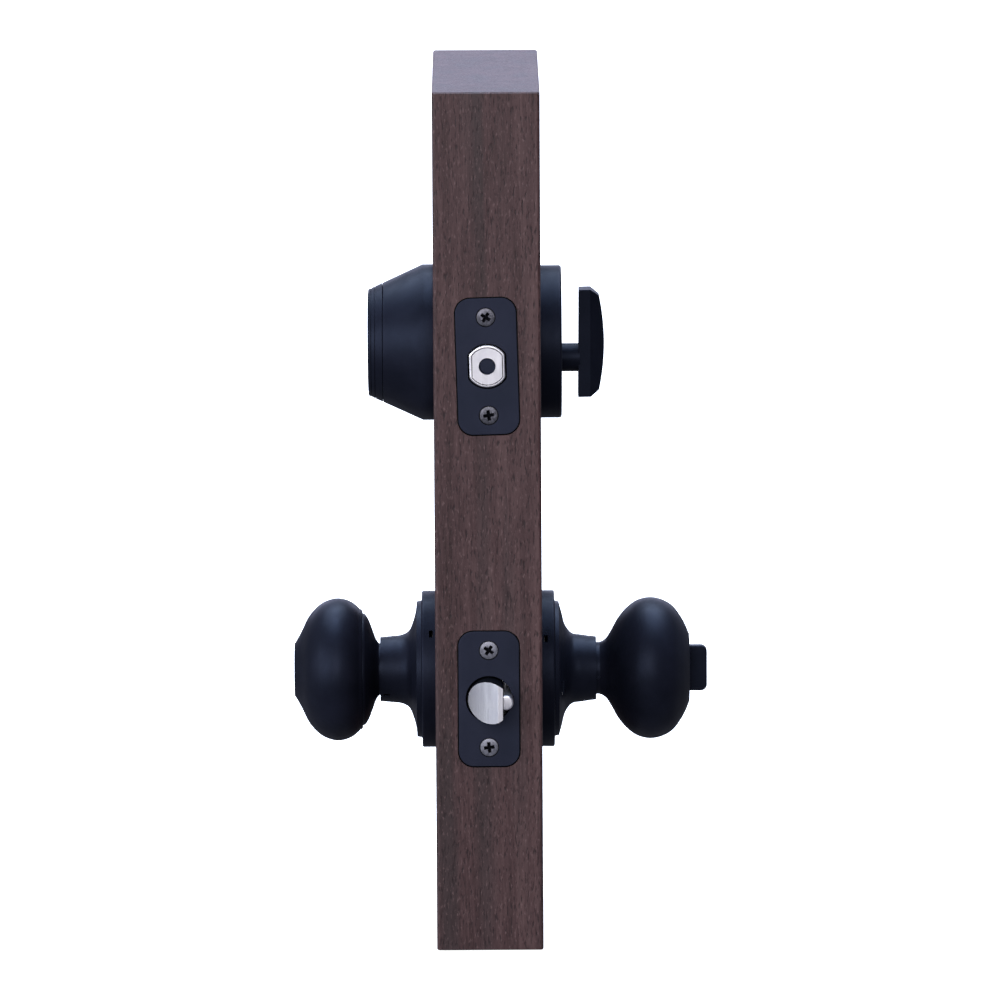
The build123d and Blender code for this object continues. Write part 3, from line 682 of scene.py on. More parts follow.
def prism(outline: list[Point], low: float, high: float, plane: Plane = Plane.XY) -> Mesh:
    """Straight solid on an outline.

    Args:
        outline: corner points in the plane's two axes.
        low: where it starts along the third axis.
        high: where it ends.
        plane: the plane that the outline is drawn in.

    Returns:
        A closed bmesh.
    """
    first, second = plane.value
    across = 3 - first - second
    corners = []
    for a, b in outline:
        corner = Vector((low, low, low))
        corner[first], corner[second] = a, b
        corners.append(corner)
    by = Vector((0, 0, 0))
    by[across] = high - low
    bm = bmesh.new()
    bm.faces.new([bm.verts.new(corner) for corner in corners])
    return raise_faces(bm, by)


def box(low: Triple, high: Triple) -> Mesh:
    """Box between two corners.

    Args:
        low: the corner with the lowest values.
        high: the corner with the highest values.

    Returns:
        A closed bmesh.
    """
    bm = bmesh.new()
    bmesh.ops.create_cube(bm, size=1.0)
    bmesh.ops.translate(bm, vec=(0.5, 0.5, 0.5), verts=bm.verts)
    bmesh.ops.scale(bm, vec=Vector(high) - Vector(low), verts=bm.verts)
    bmesh.ops.translate(bm, vec=low, verts=bm.verts)
    return bm


def rounded_rectangle(width: float, height: float, corner: float, low: float, high: float,
                      segments: int = 14) -> Mesh:
    """Plate across z with rounded corners.

    Args:
        width: size along x.
        height: size along y.
        corner: the corners' radius.
        low: height of its back.
        high: height of its front.
        segments: how many facets each corner has.

    Returns:
        A closed bmesh.
    """
    bm = bmesh.new()
    bmesh.ops.create_grid(bm, x_segments=1, y_segments=1, size=0.5)
    bmesh.ops.scale(bm, vec=(width, height, 1), verts=bm.verts)
    bmesh.ops.bevel(bm, geom=bm.verts[:], offset=corner, offset_type="OFFSET", segments=segments,
                    profile=0.5, affect="VERTICES", material=-1)
    bmesh.ops.translate(bm, vec=(0, 0, low), verts=bm.verts)
    return raise_faces(bm, Vector((0, 0, high - low)))


def flatted_outline(radius: float, half: float, corner: float, steps: int = 12) -> list[Point]:
    """Outline of a round bar with two flats whose corners are eased.

    Args:
        radius: the bar's radius.
        half: how far each flat is from the middle.
        corner: radius of the easing between round and flat.
        steps: how many short straights stand for each arc.

    Returns:
        The outline's points, all the way round.
    """
    middle = Vector((half - corner, math.sqrt((radius - corner) ** 2 - (half - corner) ** 2)))
    join = math.atan2(middle.y, middle.x)
    quarter = []
    for step in range(steps):
        angle = join * step / steps
        quarter.append((middle.x + corner * math.cos(angle), middle.y + corner * math.sin(angle)))
    for step in range(2 * steps + 1):
        angle = join + (math.pi / 2 - join) * step / (2 * steps)
        quarter.append((radius * math.cos(angle), radius * math.sin(angle)))
    top = quarter + [(-x, y) for x, y in reversed(quarter[:-1])]
    return top + [(x, -y) for x, y in reversed(top)]


def one_flat_bar(radius: float, low: float, high: float, flat: float, steps: int = 128) -> Mesh:
    """Round bar along z with a flat cut at x = flat.

    Args:
        radius: the bar's radius.
        low: where it starts.
        high: where it ends.
        flat: where the flat is along x.
        steps: how many facets the round has.

    Returns:
        A closed bmesh.
    """
    bm = bmesh.new()
    bmesh.ops.create_circle(bm, cap_ends=True, radius=radius, segments=steps)
    bmesh.ops.bisect_plane(bm, geom=bm.verts[:] + bm.edges[:] + bm.faces[:], plane_co=(flat, 0, 0),
                           plane_no=(1, 0, 0), clear_outer=True)
    bmesh.ops.translate(bm, vec=(0, 0, low), verts=bm.verts)
    return raise_faces(bm, Vector((0, 0, high - low)))


def ease(bm: Mesh, width: float, segments: int = 3, sharper_than: float = 28.0,
         where: EdgeTest | None = None) -> Mesh:
    """Round a solid's sharp edges.

    Args:
        bm: the solid.
        width: how far the rounding reaches from each edge.
        segments: how many facets it has.
        sharper_than: edges that turn more than this many degrees are rounded.
        where: a test that an edge has to pass, if given.

    Returns:
        The same bmesh.
    """
    bm.normal_update()
    limit = math.radians(sharper_than)
    sharp = [e for e in bm.edges if e.is_manifold and e.calc_face_angle(0.0) > limit]
    if where is not None:
        sharp = [e for e in sharp if where(e)]
    bmesh.ops.bevel(bm, geom=sharp, offset=width, offset_type="OFFSET", segments=segments,
                    profile=0.5, affect="EDGES", clamp_overlap=True, material=-1)
    return bm


def at_height(low: float, high: float) -> EdgeTest:
    """A test for edges that lie between two heights."""
    return lambda edge: all(low - 1e-4 <= v.co.z <= high + 1e-4 for v in edge.verts)


def turn(bm: Mesh, degrees: float, axis: str = "Z", centre: Triple = (0, 0, 0)) -> Mesh:
    """Turn a solid about an axis through a point.

    Args:
        bm: the solid.
        degrees: how far it is turned.
        axis: the axis that it turns about.
        centre: a point on the axis.

    Returns:
        The same bmesh.
    """
    matrix = Matrix.Rotation(math.radians(degrees), 3, axis)
    bmesh.ops.rotate(bm, cent=centre, matrix=matrix, verts=bm.verts)
    return bm


def shift(bm: Mesh, by: Triple) -> Mesh:
    """Move a solid."""
    bmesh.ops.translate(bm, vec=by, verts=bm.verts)
    return bm


def together(*parts: Mesh) -> Mesh:
    """Gather several solids into one bmesh, as separate shells.

    Args:
        parts: the solids, which are used up.

    Returns:
        One bmesh with every shell.
    """
    whole = bmesh.new()
    for part in parts:
        loose = bpy.data.meshes.new("loose")
        part.to_mesh(loose)
        whole.from_mesh(loose)
        bpy.data.meshes.remove(loose)
        part.free()
    return whole


def carve(body: Mesh, *others: Mesh, how: Work = Work.CUT) -> Mesh:
    """Cut, join or cross one solid with others.

    Args:
        body: the solid that is worked on.
        others: the solids that are taken from it, added to it or crossed with it.
        how: what they do to it.

    Returns:
        A new bmesh with the result.
    """
    scene = bpy.context.scene.collection
    helpers = []
    for index, solid in enumerate((body, *others)):
        data = bpy.data.meshes.new(f"bench_{index}")
        solid.to_mesh(data)
        solid.free()
        helper = bpy.data.objects.new(f"bench_{index}", data)
        scene.objects.link(helper)
        helpers.append(helper)
    host = helpers[0]
    for tool in helpers[1:]:
        modifier = host.modifiers.new("work", "BOOLEAN")
        modifier.operation = how.value
        modifier.solver = "EXACT"
        modifier.object = tool
    bpy.context.view_layer.update()
    worked = bpy.data.meshes.new_from_object(host.evaluated_get(bpy.context.evaluated_depsgraph_get()))
    result = bmesh.new()
    result.from_mesh(worked)
    bpy.data.meshes.remove(worked)
    for helper in helpers:
        data = helper.data
        bpy.data.objects.remove(helper)
        bpy.data.meshes.remove(data)
    bmesh.ops.remove_doubles(result, verts=result.verts, dist=1e-4)
    bmesh.ops.dissolve_degenerate(result, dist=1e-4, edges=result.edges)
    return result


def cross_recess(top: float, across: float, depth: float, slot: float = 1.5) -> list[Mesh]:
    """Two crossed wedges, drawn in towards their tips, that cut a driver recess from a screw head.

    Args:
        top: height of the screw head's top.
        across: width of the recess.
        depth: how deep it goes.
        slot: width of each wing.

    Returns:
        The two wedges.
    """
    wings = []
    for angle in (0, 90):
        wing = box((-across / 2, -slot / 2, top - depth), (across / 2, slot / 2, top + 0.2))
        tips = [v for v in wing.verts if v.co.z < top]
        bmesh.ops.scale(wing, vec=(0.5, 0.3, 1.0), verts=tips)
        wings.append(turn(wing, angle))
    return wings


def mark_recess(screw: Mesh, top: float, across: float, depth: float) -> Mesh:
    """Give a driver recess's faces the second finish, a near-black painted shade for the recess.

    Args:
        screw: the screw, standing on z.
        top: height of the screw head's top.
        across: width of the recess.
        depth: how deep it goes.

    Returns:
        The same screw.
    """
    for face in screw.faces:
        spot = face.calc_center_median()
        if math.hypot(spot.x, spot.y) < across / 2 and top - depth - 0.05 < spot.z < top - 0.12:
            face.material_index = SHADE_INDEX
    return screw


def mark_rims(plate: Mesh, flatter_than: float = 0.95) -> Mesh:
    """Give a plate's rims, seats and openings the second finish, a near-black painted shade for the gaps
    round them.

    Args:
        plate: the plate, lying across z.
        flatter_than: how nearly a normal lies along z for a face to stay plain.

    Returns:
        The same plate.
    """
    plate.normal_update()
    for face in plate.faces:
        if abs(face.normal.z) < flatter_than:
            face.material_index = SHADE_INDEX
    return plate


@dataclass
class Bench:
    """Turns finished solids into placed pieces and dresses them."""

    site: Site
    finishes: Finishes
    made: list[str] = field(default_factory=list)

    def put(self, name: str, bm: Mesh, axes: Matrix, body: str, slot: str, nodes: tuple[str, ...] = (),
            smooth_under: float = 32.0, finish: str = "", shade_finish: str = "") -> bpy.types.Object:
        """Make a piece of a solid.

        Args:
            name: the piece's name.
            bm: the solid in its own millimetres.
            axes: matrix to the row frame.
            body: the CAD body that it rides on.
            slot: the material slot that it takes its finish from.
            nodes: the CAD nodes that it stands for.
            smooth_under: edges that turn less than this many degrees are shaded smooth.
            finish: a variant of the slot's finish, if not the slot's own.
            shade_finish: the finish of the faces that are marked with material index 1, if any.

        Returns:
            The piece.
        """
        bm.transform(axes)
        bmesh.ops.recalc_face_normals(bm, faces=bm.faces)
        data = bpy.data.meshes.new(name)
        bm.to_mesh(data)
        bm.free()
        data.shade_smooth()
        data.set_sharp_from_angle(angle=math.radians(smooth_under))
        data.materials.append(self.finishes.of(finish or slot))
        # faces marked with the second index take a near-black painted shade
        if shade_finish:
            data.materials.append(self.finishes.of(shade_finish))
        piece = bpy.data.objects.new(name, data)
        bpy.context.scene.collection.objects.link(piece)
        weights = piece.modifiers.new("even_shading", "WEIGHTED_NORMAL")
        weights.keep_sharp = True
        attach(piece, body)
        if nodes:
            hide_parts(*nodes)
        self.made.append(name)
        LOG.info("%s: %d faces, %s, rides on %s", name, len(data.polygons), slot, body)
        return piece

    def dress_rest(self) -> None:
        """Give every CAD node that is still shown the finish of its own slot, and the back plates a
        near-black painted shade.
        """
        slots = node_slots()
        for name, node in frame["nodes"].items():
            # back plates are painted near-black as the shade seen in the gaps round the faceplates
            hidden_plate = name.endswith("backplate")
            finish = self.finishes.of("painted_recess_shade" if hidden_plate else slots[name])
            for index in range(len(node.material_slots)):
                node.material_slots[index].material = finish
            if not node.material_slots:
                node.data.materials.append(finish)
            if not node.hide_render:
                LOG.info("%s: CAD piece dressed as %s", name, slots[name])


def node_slots() -> dict[str, str]:
    """Material slot of every CAD node, from the record."""
    return {part["node"]: part["material_slot"] for part in frame["record"]["subparts"]}


# ------------------------------------------------------------------ key cylinders


@dataclass
class KeyPlug:
    """Round plug with its keyway, chambers and the tailpiece's socket."""

    name: str
    node: str
    body: str
    front: float
    back: float
    radius: float = 6.35
    pins: int = 5
    first_pin: float = 6.0
    pitch: float = 3.96
    chamber: float = 1.46

    def build(self, bench: Bench, axes: Matrix) -> None:
        """Make the plug and put it in its cylinder.

        Args:
            bench: where the pieces are placed and dressed.
            axes: matrix from the piece's own millimetres to the row frame.
        """
        front, back, r = self.front, self.back, self.radius
        groove = [(r, back + 1.8), (r - 0.9, back + 1.8), (r - 0.9, back + 0.8), (r, back + 0.8)]
        body = lathe([(0, back), (r, back), *reversed(groove), (r, front), (0, front)])
        ease(body, 0.22, where=at_height(front, front))
        keyway = [(-1.1, 4.3), (-1.1, 0.8), (-2.0, 0.8), (-2.0, -0.8), (-1.1, -0.8), (-1.1, -4.2),
                  (-0.5, -4.2), (-0.5, -5.5), (0.5, -5.5), (0.5, -4.2), (1.1, -4.2), (1.1, 4.3)]
        slot = prism(keyway, back + 4.6, front + 1)
        socket = rod(3.5, back - 1, back + 3.5)
        holes = []
        for index in range(self.pins):
            hole = rod(self.chamber, 0, r + 1, steps=40)
            holes.append(shift(turn(hole, -90, "X"), (0, 0, front - self.first_pin - self.pitch * index)))
        plug = carve(body, slot, socket, *holes)
        bench.put(self.name, plug, axes, self.body, node_slots()[self.node], (self.node,))


# ------------------------------------------------------------------ the deadbolt


@dataclass
class DeadboltKeyedSide:
    """Coned housing, front ring and key plug on the keyed face."""

    rim: float = 32.75
    rim_depth: float = 4.7
    face_rim: float = 22.3
    cone_end: float = 27.5
    joint: float = 21.5
    mouth: float = 16.8
    cylinder_drop: float = 6.75

    def cone(self, height: float) -> float:
        """Radius of the cone at a height off the door."""
        share = (height - self.rim_depth) / (self.cone_end - self.rim_depth)
        return self.rim + share * (self.face_rim - self.rim)

    def groove(self, height: float, depth: float = 0.28, half: float = 0.22) -> list[Point]:
        """Fine turned groove in the cone."""
        return [(self.cone(height - half), height - half), (self.cone(height) - depth, height - 0.08),
                (self.cone(height) - depth, height + 0.08), (self.cone(height + half), height + half)]

    def build(self, bench: Bench) -> None:
        """Make the housing, ring and plug.

        Args:
            bench: where the pieces are placed and dressed.
        """
        axes = bench.site.axes(Side.KEYED, bench.site.deadbolt_z)
        low = self.joint - 0.07
        shell = lathe([(30.0, 0), (self.rim, 0), (self.rim, self.rim_depth), (self.cone(low), low),
                       (self.cone(low) - 2.4, low), (29.9, self.rim_depth)])
        ease(shell, 0.35, where=lambda e: all(math.hypot(v.co.x, v.co.y) > 23.6 for v in e.verts))
        bench.put("keyed_housing", shell, axes, "door", "black_finish", ("deadbolt_outer_housing",))

        start = self.joint + 0.07
        ring = lathe([(self.cone(start) - 2.3, start), (self.cone(start), start), *self.groove(24.7),
                      *self.groove(26.3), (self.face_rim, self.cone_end), (20.0, 27.75),
                      (self.mouth, 27.8), (self.mouth, 24.9), (self.cone(start) - 2.3, 24.9)])
        ease(ring, 0.18, segments=2, sharper_than=40, where=lambda e: not 22 <= e.verts[0].co.z <= 27)
        bench.put("keyed_front_ring", ring, axes, "door", "black_finish", ("deadbolt_front_ring",))

        plug_axes = axes @ Matrix.Translation((0, -self.cylinder_drop, 0))
        plug = KeyPlug("deadbolt_key_plug_piece", "deadbolt_plug", "deadbolt_key_plug", 27.3, -3.0)
        plug.build(bench, plug_axes)


@dataclass
class DeadboltThumbSide:
    """Dished rose with its two screws and the thumbturn on the inner face."""

    rim: float = 32.1
    depth: float = 9.1
    wall: float = 2.2
    screw_x: float = 17.0
    stem: float = 5.95
    stem_gap: float = 0.08
    stem_drop: float = 6.75

    def rose(self) -> Mesh:
        """Rose: a shallow cup with a rolled edge, a stem hole and two screw seats.

        Returns:
            The rose in its own millimetres.
        """
        inner = self.rim - self.wall
        cup = lathe([(0, 7.3), (inner, 7.3), (inner, 0), (self.rim, 0), (self.rim, self.depth),
                     (0, self.depth)])
        ease(cup, 1.0, segments=6, where=at_height(self.depth, self.depth))
        extras = [rod(self.stem + 2.2, 4.6, 8, (0, -self.stem_drop))]
        extras += [rod(5.0, 1.7, 8, (side * self.screw_x, 0)) for side in (-1, 1)]
        cup = carve(cup, *extras, how=Work.ADD)
        cuts = [rod(self.stem + self.stem_gap, 0, 10, (0, -self.stem_drop), 128)]
        for side in (-1, 1):
            seat = [(0, 10), (4.4, 10), (4.4, 8.7), (2.4, 6.3), (2.4, -1), (0, -1)]
            cuts.append(lathe(seat, 96, (side * self.screw_x, 0)))
        return carve(cup, *cuts)

    def thumbturn(self) -> Mesh:
        """Lever with straight flanks, a bevelled crown and cut corners, on its round stem.

        Returns:
            The lever in its own millimetres.
        """
        crown = arc_run((19.9, 24.9), (0, 27.05), (-20.1, 24.9), 28)
        side = [(-23.0, 16.0), (22.5, 16.4), (22.6, 21.4), *crown, (-22.9, 21.4)]
        flank = [(5.4, 15.9), (5.6, 21.2), (3.3, 25.2), (2.2, 28)]
        section = [*flank, *((-x, y) for x, y in reversed(flank))]
        lever = carve(prism(side, -6, 6, Plane.YZ), prism(section, -30, 30, Plane.XZ), how=Work.CROSS)
        ease(lever, 1.15, segments=5, sharper_than=16)
        low = [(0, 2.0), (self.stem, 2.0), (self.stem, 2.9), (4.9, 2.9), (4.9, 3.9), (self.stem, 3.9),
               (self.stem, 16.9), (0, 16.9)]
        lever = carve(lever, lathe(low, 128, (0, -self.stem_drop)), how=Work.ADD)
        socket = box((-1.05, -3.05 - self.stem_drop, 0), (1.05, 3.05 - self.stem_drop, 10))
        return carve(lever, socket)

    def screw(self, side: int) -> Mesh:
        """Long machine screw with a countersunk head.

        Args:
            side: -1 or 1, which of the two screws.

        Returns:
            The screw in its own millimetres.
        """
        end = -bench_depth_mm() - 11
        head = smooth_run([(0, 9.2), (2.6, 9.08), (4.05, 8.72)], 5)
        outline = [*head, (4.3, 8.5), (2.05, 6.35), (2.05, end + 1), (1.4, end), (0, end)]
        recess = (9.2, 4.6, 2.0)
        # the recess is painted near-black as shade
        screw = mark_recess(carve(lathe(outline, 72), *cross_recess(*recess)), *recess)
        return shift(turn(screw, 20 + 30 * side), (side * self.screw_x, 0, 0))

    def build(self, bench: Bench) -> None:
        """Make the rose, its screws and the thumbturn.

        Args:
            bench: where the pieces are placed and dressed.
        """
        axes = bench.site.axes(Side.THUMB, bench.site.deadbolt_z)
        bench.put("thumb_rose", self.rose(), axes, "door", "black_finish", ("deadbolt_inner_rose",))
        screws = together(*(self.screw(side) for side in (-1, 1)))
        bench.put("thumb_rose_screws", screws, axes, "door", "black_screw", ("deadbolt_mounting_screws",),
                  shade_finish="painted_recess_shade")
        bench.put("thumbturn_lever", self.thumbturn(), axes, "thumbturn", "black_finish",
                  ("deadbolt_thumbturn",), smooth_under=24)


def bench_depth_mm() -> float:
    """The door's thickness in millimetres."""
    low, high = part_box("door_block")
    return (high.x - low.x) / MM


# ------------------------------------------------------------------ faceplates


@dataclass
class Faceplate:
    """Rounded faceplate in the door's edge with its two screws."""

    name: str
    width: float = 25.4
    height: float = 57.15
    corner: float = 6.35
    thickness: float = 1.8
    screw_y: float = 20.5

    def plate(self, openings: list[Mesh]) -> Mesh:
        """Plate with a broken front edge, its opening and two screw seats.

        Args:
            openings: the solids that cut its openings.

        Returns:
            The plate in its own millimetres.
        """
        plate = rounded_rectangle(self.width, self.height, self.corner, -self.thickness, 0)
        ease(plate, 0.32, where=at_height(0, 0))
        seats = []
        for side in (-1, 1):
            outline = [(0, 0.4), (4.1, 0.4), (4.1, -0.35), (1.9, -2.5), (1.9, -3.6), (0, -3.6)]
            seats.append(shift(lathe(outline, 80), (0, side * self.screw_y, 0)))
        # rims, seats and openings are painted near-black as the shade of the gaps round the plate
        return mark_rims(carve(plate, *openings, *seats))

    def screw(self, side: int) -> Mesh:
        """Wood screw with a flat head, a cross recess and a turned thread.

        Args:
            side: -1 or 1, which of the two screws.

        Returns:
            The screw in its own millimetres.
        """
        head = smooth_run([(0, -0.05), (2.4, -0.08), (3.6, -0.22)], 5)
        thread = []
        for index in range(10):
            z = -4.2 - 1.35 * index
            thread += [(1.55, z), (1.15, z - 0.55), (1.15, z - 0.8)]
        outline = [*head, (3.85, -0.45), (1.55, -2.6), *thread, (1.2, -17.7), (0, -20)]
        recess = (-0.05, 4.7, 1.9)
        # the recess is painted near-black as shade
        screw = mark_recess(carve(lathe(outline, 64), *cross_recess(*recess)), *recess)
        return shift(turn(screw, 32 + 25 * side), (0, side * self.screw_y, 0))

    def build(self, bench: Bench, axes: Matrix, openings: list[Mesh], screw_slot: str) -> None:
        """Make the plate and its screws.

        Args:
            bench: where the pieces are placed and dressed.
            axes: matrix from the piece's own millimetres to the row frame.
            openings: the solids that cut its openings.
            screw_slot: the screws' material slot.
        """
        bench.put(f"{self.name}_faceplate_piece", self.plate(openings), axes, "door", "black_finish",
                  (f"{self.name}_faceplate",), finish="black_plate", shade_finish="painted_recess_shade")
        screws = together(*(self.screw(side) for side in (-1, 1)))
        bench.put(f"{self.name}_plate_screws", screws, axes, "door", screw_slot,
                  (f"{self.name}_faceplate_screws",), shade_finish="painted_recess_shade")


@dataclass
class DeadboltEdge:
    """Faceplate, bolt and hardened insert in the door's edge."""

    radius: float = 8.875
    half: float = 7.45
    gap: float = 0.60
    tilt: float = 1.5
    insert: float = 3.0
    corner: float = 1.8
    length: float = 43.5
    stand: float = 0.1
    line_inset: float = 0.95
    line_width: float = 0.33
    line_depth: float = 0.2

    def blank(self, inset: float, low: float, high: float) -> Mesh:
        """Length of the bolt's section, drawn in by an inset."""
        outline = flatted_outline(self.radius - inset, self.half - inset, self.corner - 0.8 * inset)
        return prism(outline, low, high)

    def bolt(self) -> Mesh:
        """Bolt: round with two flats, a cut line inside its front edge, and a slot for the link.

        Returns:
            The bolt in its own millimetres.
        """
        bolt = self.blank(0.0, -self.length, self.stand)
        ease(bolt, 0.6, segments=4, sharper_than=60, where=at_height(self.stand, self.stand))
        line = carve(self.blank(self.line_inset, -self.line_depth, 1),
                     self.blank(self.line_inset + self.line_width, -1, 2))
        hollow = rod(self.insert + 0.5, -30, 1)
        slot = turn(box((-4.1, 3.1, -50), (4.1, 8.0, -33.1)), -self.tilt)
        bolt = carve(bolt, line, hollow, slot)
        # the cut line's faces are painted near-black as the shade in the groove
        for face in bolt.faces:
            spot = face.calc_center_median()
            reach = self.line_inset - 0.05
            inside = abs(spot.x) < self.half - reach and math.hypot(spot.x, spot.y) < self.radius - reach
            if inside and -self.line_depth - 0.1 < spot.z < self.stand - 0.04:
                face.material_index = SHADE_INDEX
        return bolt

    def core(self) -> Mesh:
        """Free-turning steel rod inside the bolt.

        Returns:
            The insert in its own millimetres.
        """
        r = self.insert
        return lathe([(0, -29.9), (r + 0.45, -29.9), (r + 0.45, -0.9), (r, -0.75), (r, -0.55),
                      (r - 0.3, -0.35), (0, -0.3)], 96)

    def build(self, bench: Bench) -> None:
        """Make the plate, bolt and insert.

        Args:
            bench: where the pieces are placed and dressed.
        """
        straight = bench.site.axes(Side.EDGE, bench.site.deadbolt_z)
        tilted = straight @ Matrix.Rotation(math.radians(self.tilt), 4, "Z")
        opening = self.blank(-self.gap, -5, 5)
        Faceplate("deadbolt").build(bench, tilted, [opening], "black_screw")
        bench.put("deadbolt_bolt_piece", self.bolt(), tilted, "deadbolt", "satin_nickel",
                  ("deadbolt_bolt",), shade_finish="painted_recess_shade")
        # the steel rod takes the black pressing's finish, a painted shade for the dark hole in the bolt's
        # face
        slot = node_slots()["deadbolt_bolt_insert"]
        bench.put("deadbolt_bolt_core", self.core(), straight, "deadbolt", slot, ("deadbolt_bolt_insert",),
                  finish="black_plate")


# ------------------------------------------------------------------ the knob set


@dataclass
class KnobRose:
    """Thin pressed rose with a rolled rim and a flared neck."""

    name: str
    node: str
    side: Side
    flare: tuple[Point, ...]
    rim_height: float
    slots: tuple[tuple[Triple, Triple], ...]
    rim: float = 33.05
    wall: float = 1.1

    @classmethod
    def keyed(cls) -> "KnobRose":
        """The rose on the keyed face, with a slot in its rim and one in its neck.

        Returns:
            The rose.
        """
        flare = ((28.6, 8.1), (24.6, 8.5), (20.2, 9.65), (15.9, 11.8), (14.6, 14.3), (14.05, 18.5),
                 (13.57, 23.6))
        rim_slot = ((20, 18.4, 1.2), (40, 21.0, 2.8))
        neck_slot = ((8, -10.4, 19.6), (14, -8.8, 22.2))
        return cls("keyed_rose_piece", "knob_outer_rose", Side.KEYED, flare, 5.9, (rim_slot, neck_slot))

    @classmethod
    def thumb(cls) -> "KnobRose":
        """The rose on the inner face, with a slot in its rim and one over its spring catch.

        Returns:
            The rose.
        """
        flare = ((28.3, 7.45), (24.1, 8.6), (17.6, 10.6), (15.0, 12.9), (14.2, 17.0), (13.4, 23.2))
        rim_slot = ((-40, 16.4, 1.0), (-20, 19.0, 2.6))
        catch_slot = ((-23.0, -7.5, 5), (-19.8, -1.7, 12))
        return cls("thumb_rose_piece", "knob_inner_rose", Side.THUMB, flare, 5.6, (rim_slot, catch_slot))

    def build(self, bench: Bench) -> None:
        """Press the rose and cut its slots.

        Args:
            bench: where the pieces are placed and dressed.
        """
        axes = bench.site.axes(self.side, bench.site.knob_z)
        flare = smooth_run(list(self.flare), 7)
        hollow = [(r - 0.8 * self.wall, z - self.wall) for r, z in self.flare[:-1]]
        neck_r, neck_z = self.flare[-1]
        hollow.append((neck_r - self.wall, neck_z))
        step, top = self.flare[0][0], self.rim_height
        lip = arc_run((self.rim, top - 0.75), (self.rim - 0.22, top - 0.22), (self.rim - 0.75, top), 6)
        outside = [(self.rim, 0), *lip, (step + 0.9, top), (step + 0.35, top + 0.25), *flare]
        inside = [*reversed(smooth_run(hollow, 7)), (hollow[0][0], top - self.wall),
                  (self.rim - self.wall, top - self.wall), (self.rim - self.wall, 0)]
        rose = lathe([*outside, *inside], 160)
        rose = carve(rose, *(box(low, high) for low, high in self.slots))
        bench.put(self.name, rose, axes, "door", "black_finish", (self.node,))


@dataclass
class KeyedKnob:
    """Tulip knob of two pressings with a key cylinder in its face."""

    bearing: float = 11.0
    bore: float = 8.0
    skirt: float = 23.7
    skin: tuple[Point, ...] = (
        (25.6, 32.2), (29.0, 36.6), (30.1, 41.2), (28.4, 47.6), (23.6, 52.9), (15.5, 57.2), (11.4, 59.5))
    lining: tuple[Point, ...] = (
        (24.2, 31.0), (27.5, 36.9), (28.6, 41.2), (27.0, 47.0), (22.5, 51.8), (14.8, 55.7), (12.4, 56.8))

    def back(self) -> Mesh:
        """Cone behind the knob, with its shank and the skirt inside the shell.

        Returns:
            The cone in its own millimetres.
        """
        cone = smooth_run([(self.bearing, 24.1), (11.8, 24.75), (17.0, 26.9), (22.3, 29.2), (23.5, 30.2),
                           (self.skirt, 31.2)], 5)
        outline = [(self.bore, 2), (self.bearing, 2), *cone, (self.skirt, 39.9), (self.skirt - 1.5, 39.9),
                   (self.skirt - 1.5, 31.9), (16.2, 28.6), (11.5, 26.4), (self.bore, 26.4)]
        return lathe(outline, 160)

    def shell(self) -> Mesh:
        """Pressed front, open in the middle, with its rolled-in rear edge and the rib that holds it.

        Returns:
            The shell in its own millimetres.
        """
        skin = smooth_run(list(self.skin), 9)
        lip = [(11.2, 59.72), (10.95, 59.8), (10.8, 59.7), (10.8, 56.8), (12.4, 56.8)]
        lining = smooth_run(list(self.lining), 7)
        rib = [(28.55, 41.4), (20.0, 41.4), (20.0, 40.0), (28.35, 40.0)]
        upper = [p for p in reversed(lining[:-1]) if p[1] > 41.6]
        lower = [p for p in reversed(lining) if p[1] < 39.8]
        roll = [(24.3, 31.0), (24.9, 31.1), (25.35, 31.6)]
        outline = [*skin, *lip, *upper, *rib, *lower[:-1], *roll]
        return lathe(outline, 176)

    def build(self, bench: Bench) -> None:
        """Make the back, shell and plug.

        Args:
            bench: where the pieces are placed and dressed.
        """
        axes = bench.site.axes(Side.KEYED, bench.site.knob_z)
        bench.put("keyed_knob_back", self.back(), axes, "keyed_knob", "black_finish", ("outer_knob_back",))
        bench.put("keyed_knob_shell", self.shell(), axes, "keyed_knob", "black_finish",
                  ("outer_knob_shell",))
        plug = KeyPlug("knob_key_plug_piece", "knob_plug", "knob_key_plug", 59.0, 31.0)
        plug.build(bench, axes)


